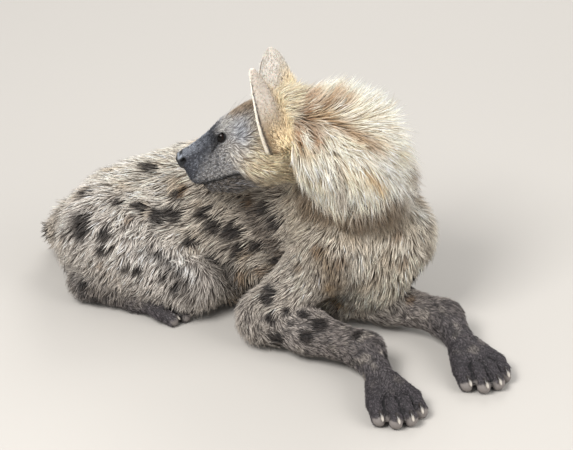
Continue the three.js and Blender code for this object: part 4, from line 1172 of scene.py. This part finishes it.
def ear_points(side, v, u, wall):
    """v goes from the base to the tip and u from edge to edge: an arch that narrows to the tip as
    a power of one less a power of v, and leans over at the top. Below the base, where v is less
    than nought, the ear closes, and past its lobe it goes into the head."""
    base = on_head(36, side * 54, -24)
    axis = unit(on_head(-0.28, side * 0.1, 0.95) - SKULL)
    forward, outward = EAR_OPENS[side]
    opens = on_head(forward, side * outward, 0) - SKULL
    opens = unit(opens - axis * (opens @ axis))
    across = np.cross(axis, opens)
    spread = 0.7 + 0.3 * np.sin(np.clip(v / 0.45, -0.9, 1) * math.pi / 2)
    half = (EAR_WIDTH / 2 - wall) * spread * np.maximum(1 - np.maximum(v, 0) ** 1.8, 0) ** 0.6 + 1.2
    deep = (EAR_DEPTH - wall) * (1 - 0.87 * v)
    a = u * EAR_BEND
    side_way = half * np.sin(a) / math.sin(EAR_BEND)
    open_way = 8 * v * v - deep * (np.cos(a) - math.cos(EAR_BEND))
    inward = 190 * np.maximum(-v - EAR_LOBE, 0)
    return (
        base + (EAR_HEIGHT - wall) * v[..., None] * axis + side_way[..., None] * across
        + open_way[..., None] * opens - side * inward[..., None] * HEAD_LEFT
    )


suede, tree, shader = new_material("ear_cartilage_and_skin")
colour = add_node(tree, "ShaderNodeAttribute", {"attribute_name": "Coat"})
where = add_node(tree, "ShaderNodeTexCoord")
grain = add_node(
    tree, "ShaderNodeTexNoise",
    Vector=where.outputs["Object"], Scale=1 / (EAR_GRAIN * MM), Detail=2.0,
)
bump = add_node(tree, "ShaderNodeBump", Height=grain.outputs["Fac"], Strength=0.3, Distance=0.0005)
tree.links.new(colour.outputs["Color"], shader.inputs["Base Color"])
tree.links.new(bump.outputs["Normal"], shader.inputs["Normal"])
shader.inputs["Roughness"].default_value = 0.75
shader.inputs["Subsurface Weight"].default_value = 0.12
shader.inputs["Subsurface Scale"].default_value = 0.004
EAR_BACKS = {1: ("#8f7a5e", "#b9aea1"), -1: ("#a08867", "#bdb5aa")}


def ear_colour(side, v, u, inner):
    """Grey back that turns brown low down, dark cup with a pale upper half, and along both edges
    a pale rim with a line of painted shade inside it, under the roll of the rim."""
    v, u = np.clip(v, 0, 1).ravel(), np.abs(u).ravel()
    edge = np.maximum(u, smooth(v, 0.87, 1.02))
    low, high = ("#4a3f37", "#b9aea0") if inner else EAR_BACKS[side]
    shade = mixed(np.broadcast_to(linear(low), (len(v), 3)), linear(high), smooth(v, 0.05, 0.7))
    rim_shade = smooth(u, 0.84, 0.89) * (1 - smooth(edge, 0.91, 0.95)) * (1 - smooth(v, 0.8, 0.92))
    shade = mixed(shade, linear("#3a312b"), rim_shade)
    return mixed(shade, linear("#efe6d6"), 0.9 * smooth(edge, 0.91, 0.96))


def ear(side, name):
    """The outer wall and the inner one, turned round, as the two halves of each ring of a tube."""
    v = (-EAR_FOOT + (1 + EAR_FOOT) * np.sin(np.linspace(0, 1, EAR_ROWS) * math.pi / 2))[:, None]
    v = v * np.ones((1, EAR_COLUMNS))
    u = np.linspace(-1, 1, EAR_COLUMNS)[None] * np.ones((EAR_ROWS, 1))
    walls, shades = [], []
    for wall, turn in ((0.0, 1), (EAR_WALL, -1)):
        walls.append(ear_points(side, v, u, wall)[:, ::turn])
        shades.append(ear_colour(side, v, u, wall > 0).reshape(EAR_ROWS, EAR_COLUMNS, 3)[:, ::turn])
    piece = mesh_object(f"{name}_ear_shell", *tube(np.concatenate(walls, 1)), suede)
    set_colour(piece, "Coat", with_ends(np.concatenate(shades, 1)))
    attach(piece, "root")
    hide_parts(f"{name}_ear")


for side, name in SIDE_NAMES:
    ear(side, name)

# Claws: blunt grey horn that leaves the top of each toe and curves down. The ground wears it, so it
# is pale at the tip and has a soft shine, with growth streaks about a millimetre and a half wide.
CLAW_LENGTH, CLAW_RADIUS, CLAW_ROOT = 19.5, 5, 2
CLAW_RISE, CLAW_DROP = 13.5, 9
CLAW_RINGS, CLAW_SIDES = 16, 16
HORN_STREAKS = 1.43
horn, tree, shader = new_material("claw_horn")
colour = add_node(tree, "ShaderNodeAttribute", {"attribute_name": "Horn"})
where = add_node(tree, "ShaderNodeTexCoord")
streaks = add_node(
    tree, "ShaderNodeTexNoise",
    Vector=where.outputs["Object"], Scale=1 / (HORN_STREAKS * MM), Detail=2.0,
)
bump = add_node(tree, "ShaderNodeBump", Height=streaks.outputs["Fac"], Strength=0.2, Distance=0.0003)
tree.links.new(colour.outputs["Color"], shader.inputs["Base Color"])
tree.links.new(bump.outputs["Normal"], shader.inputs["Normal"])
shader.inputs["Roughness"].default_value = 0.32


def claw(name, tip, forward, size):
    """Rings along a falling curve, whose radius shrinks to a blunt end."""
    t = np.linspace(0, 1, CLAW_RINGS)[:, None, None]
    side = np.array([-forward[1], forward[0], 0])
    turn = np.linspace(0, 2 * math.pi, CLAW_SIDES, endpoint=False)[None, :, None]
    radius = CLAW_RADIUS * size * (1 - 0.2 * t) * np.sqrt(np.maximum(1 - t**4, 0.0)) + 0.05
    reach = CLAW_ROOT + (CLAW_LENGTH * size - CLAW_ROOT) * t
    line = tip + forward * reach + np.array([0, 0, 1]) * (CLAW_RISE * size - CLAW_DROP * size * t**2)
    rings = line + side * np.cos(turn) * radius * 0.8 + np.array([0, 0, 1]) * np.sin(turn) * radius
    rings[..., 2] = np.maximum(rings[..., 2], FLOOR_CLEAR)
    tone = smooth(t + 0 * turn, 0.5, 0.9)
    piece = mesh_object(f"horn_{name}", *tube(rings), horn)
    set_colour(piece, "Horn", with_ends(linear("#2e2927") * (1 - tone) + linear("#b5ada2") * tone))
    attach(piece, "root")
    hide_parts(f"claw_{name}")


for name in PAWS:
    wrist, forward, size, behind, _ = PAWS[name]
    for number, (_, _, tip) in enumerate(toes(wrist, forward, size, behind), 1):
        claw(f"{name}_{number}", tip, np.array(forward, float), size)

# Coat: guard hairs of keratin in thin tufts that lie back along the body, dark at the root and pale
# at the tip. Short and close on the face and paws, longer on the flanks, and standing in the mane.
# They give a broad soft shine with a trace of sheen, and no sharp highlight.
HAIR_SEED = 20771
SIDES = 3
MOST_TRIANGLES = 185000
OFBAKE_PATCH = 0.003
hair, tree, shader = new_material("guard_hair")
colour = add_node(tree, "ShaderNodeAttribute", {"attribute_name": "Coat"})
tree.links.new(colour.outputs["Color"], shader.inputs["Base Color"])
shader.inputs["Roughness"].default_value = 0.62
shader.inputs["Specular IOR Level"].default_value = 0.32
shader.inputs["Sheen Weight"].default_value = 0.08
shader.inputs["Sheen Roughness"].default_value = 0.5
draw = np.random.default_rng(HAIR_SEED)
Hair = namedtuple("Hair", "root normal lie length width lift bend sway pull dark light")


def tufts(h, rings):
    """Thin three-sided spikes. The middle line leaves the skin by the lift and bends over towards
    the lie; it sways sideways and is pulled to its lock with powers of the way out; the width falls
    to nothing. Gives points (tuft, ring, side), the tips, and how far out each ring is."""
    t = np.linspace(0, 1, rings + 1)[None, :, None]
    across = unit(np.cross(h.normal, h.lie))[:, None]
    lie, normal, root, pull = (v[:, None] for v in (h.lie, h.normal, h.root, h.pull))
    length, width, lift, bend, sway = (v[:, None, None] for v in (h.length, h.width, h.lift, h.bend, h.sway))
    along = length * (t * np.cos(lift) + bend * t**2 * (1 - np.cos(lift)))
    rise = length * np.sin(lift) * (t - bend * t**2) - 0.8
    line = root + lie * along + normal * rise + across * length * sway * t**2 + pull * t**1.5
    half = width / 2 * (1 - t**1.6) ** 0.8
    profile = ((-1, 0.0), (1, 0.0), (0, 0.7))
    sides = [line[:, :-1] + (across * a + normal * b) * half[:, :-1] for a, b in profile]
    return np.stack(sides, 2), line[:, -1], t[0, :, 0]


def unwrap(p, n):
    """Places of skin points on a six-part unwrap: each goes to the part that faces as its skin
    does most, and there by its two other coordinates, stretched over that part."""
    facing = np.argmax(np.abs(n), 1)
    chart = facing * 2 + (n[np.arange(len(n)), facing] < 0)
    uv = np.zeros((len(p), 2))
    for c in np.unique(chart):
        mine = chart == c
        flat = np.delete(p[mine], c // 2, axis=1)
        low, high = flat.min(0), flat.max(0)
        inside = (flat - low) / np.maximum(high - low, 1e-6)
        uv[mine] = (np.array([c % 3, c // 3]) + 0.03 + 0.94 * inside) / (3, 2)
    return uv


def coat_piece(name, h, rings):
    """One mesh of tufts, with colours from root to tip and the OFBake map."""
    points, tips, shares = tufts(h, rings)
    number, per = len(points), rings * SIDES + 1
    everything = np.concatenate([points.reshape(number, -1, 3), tips[:, None]], 1).reshape(-1, 3)
    everything[:, 2] = np.maximum(everything[:, 2], FLOOR_CLEAR)
    ring, k = np.meshgrid(np.arange(rings - 1) * SIDES, np.arange(SIDES), indexing="ij")
    a, b = (ring + k).ravel(), (ring + (k + 1) % SIDES).ravel()
    last = (rings - 1) * SIDES + np.arange(SIDES)
    ends = np.stack([last, np.roll(last, -1), np.full(SIDES, per - 1)], 1)
    walls = [np.stack([a, b, b + SIDES], 1), np.stack([a, b + SIDES, a + SIDES], 1)]
    one = np.concatenate([*walls, ends, [[2, 1, 0]]])
    faces = (np.arange(number)[:, None, None] * per + one[None]).reshape(-1, 3)
    piece = mesh_object(name, everything, faces, hair)
    ring_share = np.append(np.repeat(shares[:-1], SIDES), 1.0)
    tone = smooth(ring_share, 0.0, 0.7)[None, :, None]
    colours = h.dark[:, None] + (h.light - h.dark)[:, None] * tone
    set_colour(piece, "Coat", colours.reshape(-1, 3))
    across = np.append(np.tile([0.0, 1.0, 0.5], rings), 0.5) - 0.5
    at = unwrap(h.root, h.normal)[:, None] + np.stack([across, ring_share - 0.5], 1) * OFBAKE_PATCH
    corners = np.empty(len(piece.data.loops), np.int32)
    piece.data.loops.foreach_get("vertex_index", corners)
    layer = piece.data.uv_layers.new(name="OFBake")
    layer.data.foreach_set("uv", at.reshape(-1, 2)[corners].astype(np.float32).ravel())
    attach(piece, "root")


# Roots lie at random on the skin, more where the hair is finer, and fewer where the animal lies
# on them.
UNDERSIDE_SHARE = 0.35
corner = skin_points[skin_tris]
areas = np.linalg.norm(np.cross(corner[:, 1] - corner[:, 0], corner[:, 2] - corner[:, 0]), axis=1) / 2
spacing = form_weights(face_middle) @ np.array([c.spacing for c in FORM_COATS])
expected = areas / spacing**2
facing_down = skin_normals[skin_tris].mean(1)[:, 2] < -0.5
expected[facing_down & (face_middle[:, 2] < 60)] *= UNDERSIDE_SHARE
expected[face_middle[:, 2] < 2.5] = 0
owner = np.repeat(np.arange(len(skin_tris)), draw.poisson(expected))
share = np.sort(draw.random((len(owner), 2)), 1)
bary = np.stack([share[:, 0], share[:, 1] - share[:, 0], 1 - share[:, 1]], 1)
roots = (corner[owner] * bary[..., None]).sum(1)
forward, left, up = head_place(roots).T
off_eye = np.hypot((forward - EYE_FORWARD - 3) / 16.5, (up - EYE_UP) / 9.5)
in_eye = (np.abs(left) > 20) & (off_eye < 1) & (np.abs(left) < 70)
bare = (bare_share(roots) > 0.4) | (nose_share(roots) > 0.3) | in_eye | (toe_gap(roots) > 0.75)
roots, forward, left, up = (v[~bare] for v in (roots, forward, left, up))
normals = unit(slope_at(roots, depth_in))
weights = form_weights(roots)
by_part = {part: share_of(weights, "part", part) for part in dict.fromkeys(f.part for f in BODY)}


def coat_values(kind):
    """A value of the coats at each root, such as the length, mixed by the forms' weights."""
    return weights @ np.array([getattr(c, kind) for c in FORM_COATS])


# Lie and lift: hair follows the body, swirls a little, and stands along the crest and nape.
share_up, under_crest, crest_way = neck_frame(roots)
crest = by_part["neck"] * smooth(under_crest, 0.3, 0.9)
nape = by_part["head"] * (1 - smooth(forward, 5, 40)) * smooth(up, -20, 15)
standing = np.maximum(crest, nape)
swirl = np.stack([ripple(roots, 130, 11 + k) for k in range(3)], 1) * 0.26
wisps = np.stack([ripple(roots, 26, 31 + k) for k in range(3)], 1) * 0.3
lie = weights @ np.array([f.lie for f in BODY]) + swirl + wisps
lie = lie * (1 - 0.75 * crest[:, None]) + crest_way * (0.9 * crest)[:, None]
lie = unit(lie - normals * (lie * normals).sum(1, keepdims=True))
length = coat_values("length") * draw.uniform(0.65, 1.2, len(roots)) * (1 + 0.12 * ripple(roots, 40, 21))
length = length * (1 - 0.4 * by_part["neck"] * (1 - smooth(share_up, 0.2, 0.32)))
length = length + nape * draw.uniform(34, 52, len(roots)) + 6 * crest
lift = coat_values("lift") * draw.uniform(0.7, 1.3, len(roots)) + 0.34 * standing
bend = 0.28 - 0.12 * by_part["neck"] - 0.04 * standing
width = (coat_values("width") + 1.0 * nape) * draw.uniform(0.75, 1.25, len(roots))
sway = draw.normal(0, 0.09, len(roots)) + 0.14 * ripple(roots, 50, 22)

# Colours are those half way along the hair, where it shows. Single hairs are darker or paler.
SHOWS_AT = 0.5
DARK_SHARE, DARK_TIP = 0.16, 0.45
FLECK_SHARE = 0.05
seen_at = roots + lie * (length * np.cos(lift) * SHOWS_AT)[:, None]
dark, light = coat_colours(seen_at, normals, weights)
tone = draw.normal(0, 0.2, len(roots)) + 0.12 * ripple(roots, 18, 41)
tone = np.exp(tone * (1 - 0.45 * by_part["neck"]))[:, None]
lot = draw.random(len(roots))[:, None]
light = light * tone * np.where(lot < DARK_SHARE * (1 - 0.85 * by_part["neck"][:, None]), DARK_TIP, 1.0)
flecks = ((lot > 1 - FLECK_SHARE).ravel() & (by_part["head"] > 0.8)) * 0.6
light = np.clip(mixed(light, linear("#b5b8bf"), flecks), 0, 0.92)
dark = dark * tone

# Locks: the tips of the tufts gather towards those of a few that lead them.
LEAD_SHARE = 14
GATHER = 0.45
leads = draw.permutation(len(roots))[: len(roots) // LEAD_SHARE]
lead_tree = KDTree(len(leads))
for number, at in enumerate(leads):
    lead_tree.insert(roots[at], number)
lead_tree.balance()
leader = leads[[lead_tree.find(r)[1] for r in roots]]
pull = (GATHER * (1 - 0.3 * by_part["neck"]))[:, None] * (roots[leader] - roots)
pull -= normals * (pull * normals).sum(1, keepdims=True)

coat = Hair(roots, normals, lie, length, width, lift, bend, sway, pull, dark, light)
part_of = np.argmax(np.stack(list(by_part.values()), 1), 1)
for number, part_name in enumerate(by_part):
    mine = np.nonzero(part_of == number)[0]
    rings = 2 if part_name in ("head", "right_foreleg", "left_foreleg") else 3
    triangles = (rings - 1) * SIDES * 2 + SIDES + 1
    pieces = math.ceil(len(mine) * triangles / MOST_TRIANGLES)
    mine = mine[np.argsort(roots[mine, 0], kind="stable")]
    for k, some in enumerate(np.array_split(mine, pieces), 1):
        coat_piece(f"coat_{part_name}_{k}", Hair(*(v[some] for v in coat)), rings)

# Hair of the ears: short suede on the back that lengthens to the base, and pale fringes that cross
# the opening from both edges.
EAR_TUFTS, FRINGE_TUFTS = 5200, 900


def ear_coat(side, name):
    """Tufts at random places of the ear's two parameters, on its back or, the fringe, inside its
    edges. Fewer are kept towards the tip, as the ear narrows."""
    number = EAR_TUFTS + FRINGE_TUFTS
    fringe = np.arange(number) >= EAR_TUFTS
    v = np.where(fringe, draw.uniform(0.08, 0.9, number), draw.uniform(-0.18, 0.97, number))
    by_edge = np.sign(draw.uniform(-1, 1, number)) * draw.uniform(0.72, 0.97, number)
    u = np.where(fringe, by_edge, draw.uniform(-0.99, 0.99, number))
    keep = draw.random(number) < np.maximum(1 - np.maximum(v, 0) ** 1.8, 0) ** 0.6
    fringe, v, u = fringe[keep], v[keep], u[keep]
    outer, inner = ear_points(side, v, u, 0.0), ear_points(side, v, u, EAR_WALL)
    up_way = unit(ear_points(side, v + 0.01, u, 0.0) - outer)
    edge_way = unit(ear_points(side, v, u + 0.01, 0.0) - outer)
    normal = unit(np.cross(edge_way, up_way))
    normal *= np.sign((normal * (outer - inner)).sum(1, keepdims=True))
    root = np.where(fringe[:, None], inner, outer)
    normal = np.where(fringe[:, None], -normal, normal)
    lie = np.where(fringe[:, None], 0.7 * up_way - edge_way * np.sign(u)[:, None], up_way)
    lie = unit(lie + 0.25 * draw.normal(size=lie.shape))
    low = 1 - smooth(v - 0.42 * smooth(-u, -0.35, 0.35), -0.1, 0.6)
    low = low * (1 - 0.8 * smooth(np.abs(u), 0.6, 0.85))
    long = draw.uniform(8, 20, len(v))
    length = np.where(fringe, long, (7 + 20 * low**2) * draw.uniform(0.7, 1.2, len(v)))
    colour = mixed(ear_colour(side, v, u, False), linear("#ecd6b0"), 0.85 * low**1.5)
    colour[fringe] = linear("#efe6d6")
    colour = colour * np.exp(draw.normal(0, 0.13, len(v)))[:, None]
    flat = np.zeros(len(v))
    width = np.where(fringe, 1.1, 1.2 + 0.8 * low)
    lift = np.where(fringe, 0.5, 0.3 + 0.25 * low)
    dark, light = 0.78 * colour, np.clip(1.2 * colour, 0, 0.92)
    hairs = Hair(root, normal, lie, length, width, lift, flat + 0.25, flat, 0 * root, dark, light)
    coat_piece(f"coat_{name}_ear", hairs, 2)


for side, name in SIDE_NAMES:
    ear_coat(side, name)

# Whiskers: stiff black hairs with grey ends, in rows on the upper lip, and a few over each eye. A
# row is its height, where it starts and ends forward of the skull's back, and how many it has.
WHISKER_ROWS = ((-34, 202, 168, 5), (-42, 204, 160, 6), (-50, 200, 158, 5))
BROW_WHISKERS = ((118, 31), (112, 33), (106, 34))


def whiskers(side, name):
    """Long thin tufts of the guard hair's make, set on the skin at the rows' places."""
    rows = [(u, np.linspace(start, end, count)) for u, start, end, count in WHISKER_ROWS]
    places = [on_head(f, side * 24, u) for u, row in rows for f in row]
    places += [on_head(f, side * 34, u) for f, u in BROW_WHISKERS]
    root = settle(np.array(places), depth_in, 30, 6)
    normal = unit(slope_at(root, depth_in))
    lie = unit(TO_NAPE + 0.3 * DOWN + 0.25 * draw.normal(size=root.shape))
    lie = unit(lie - normal * (lie * normal).sum(1, keepdims=True))
    number = len(root)
    flat = np.zeros(number)
    length, sway = draw.uniform(28, 52, number), 0.05 * draw.normal(size=number)
    dark, light = (flat[:, None] + linear(shade) for shade in ("#0e0d0d", "#6d6a68"))
    width, lift, bend = (flat + v for v in (0.8, 0.75, 0.35))
    hairs = Hair(root, normal, lie, length, width, lift, bend, sway, 0 * root, dark, light)
    coat_piece(f"whiskers_{name}", hairs, 6)


for side, name in SIDE_NAMES:
    whiskers(side, name)
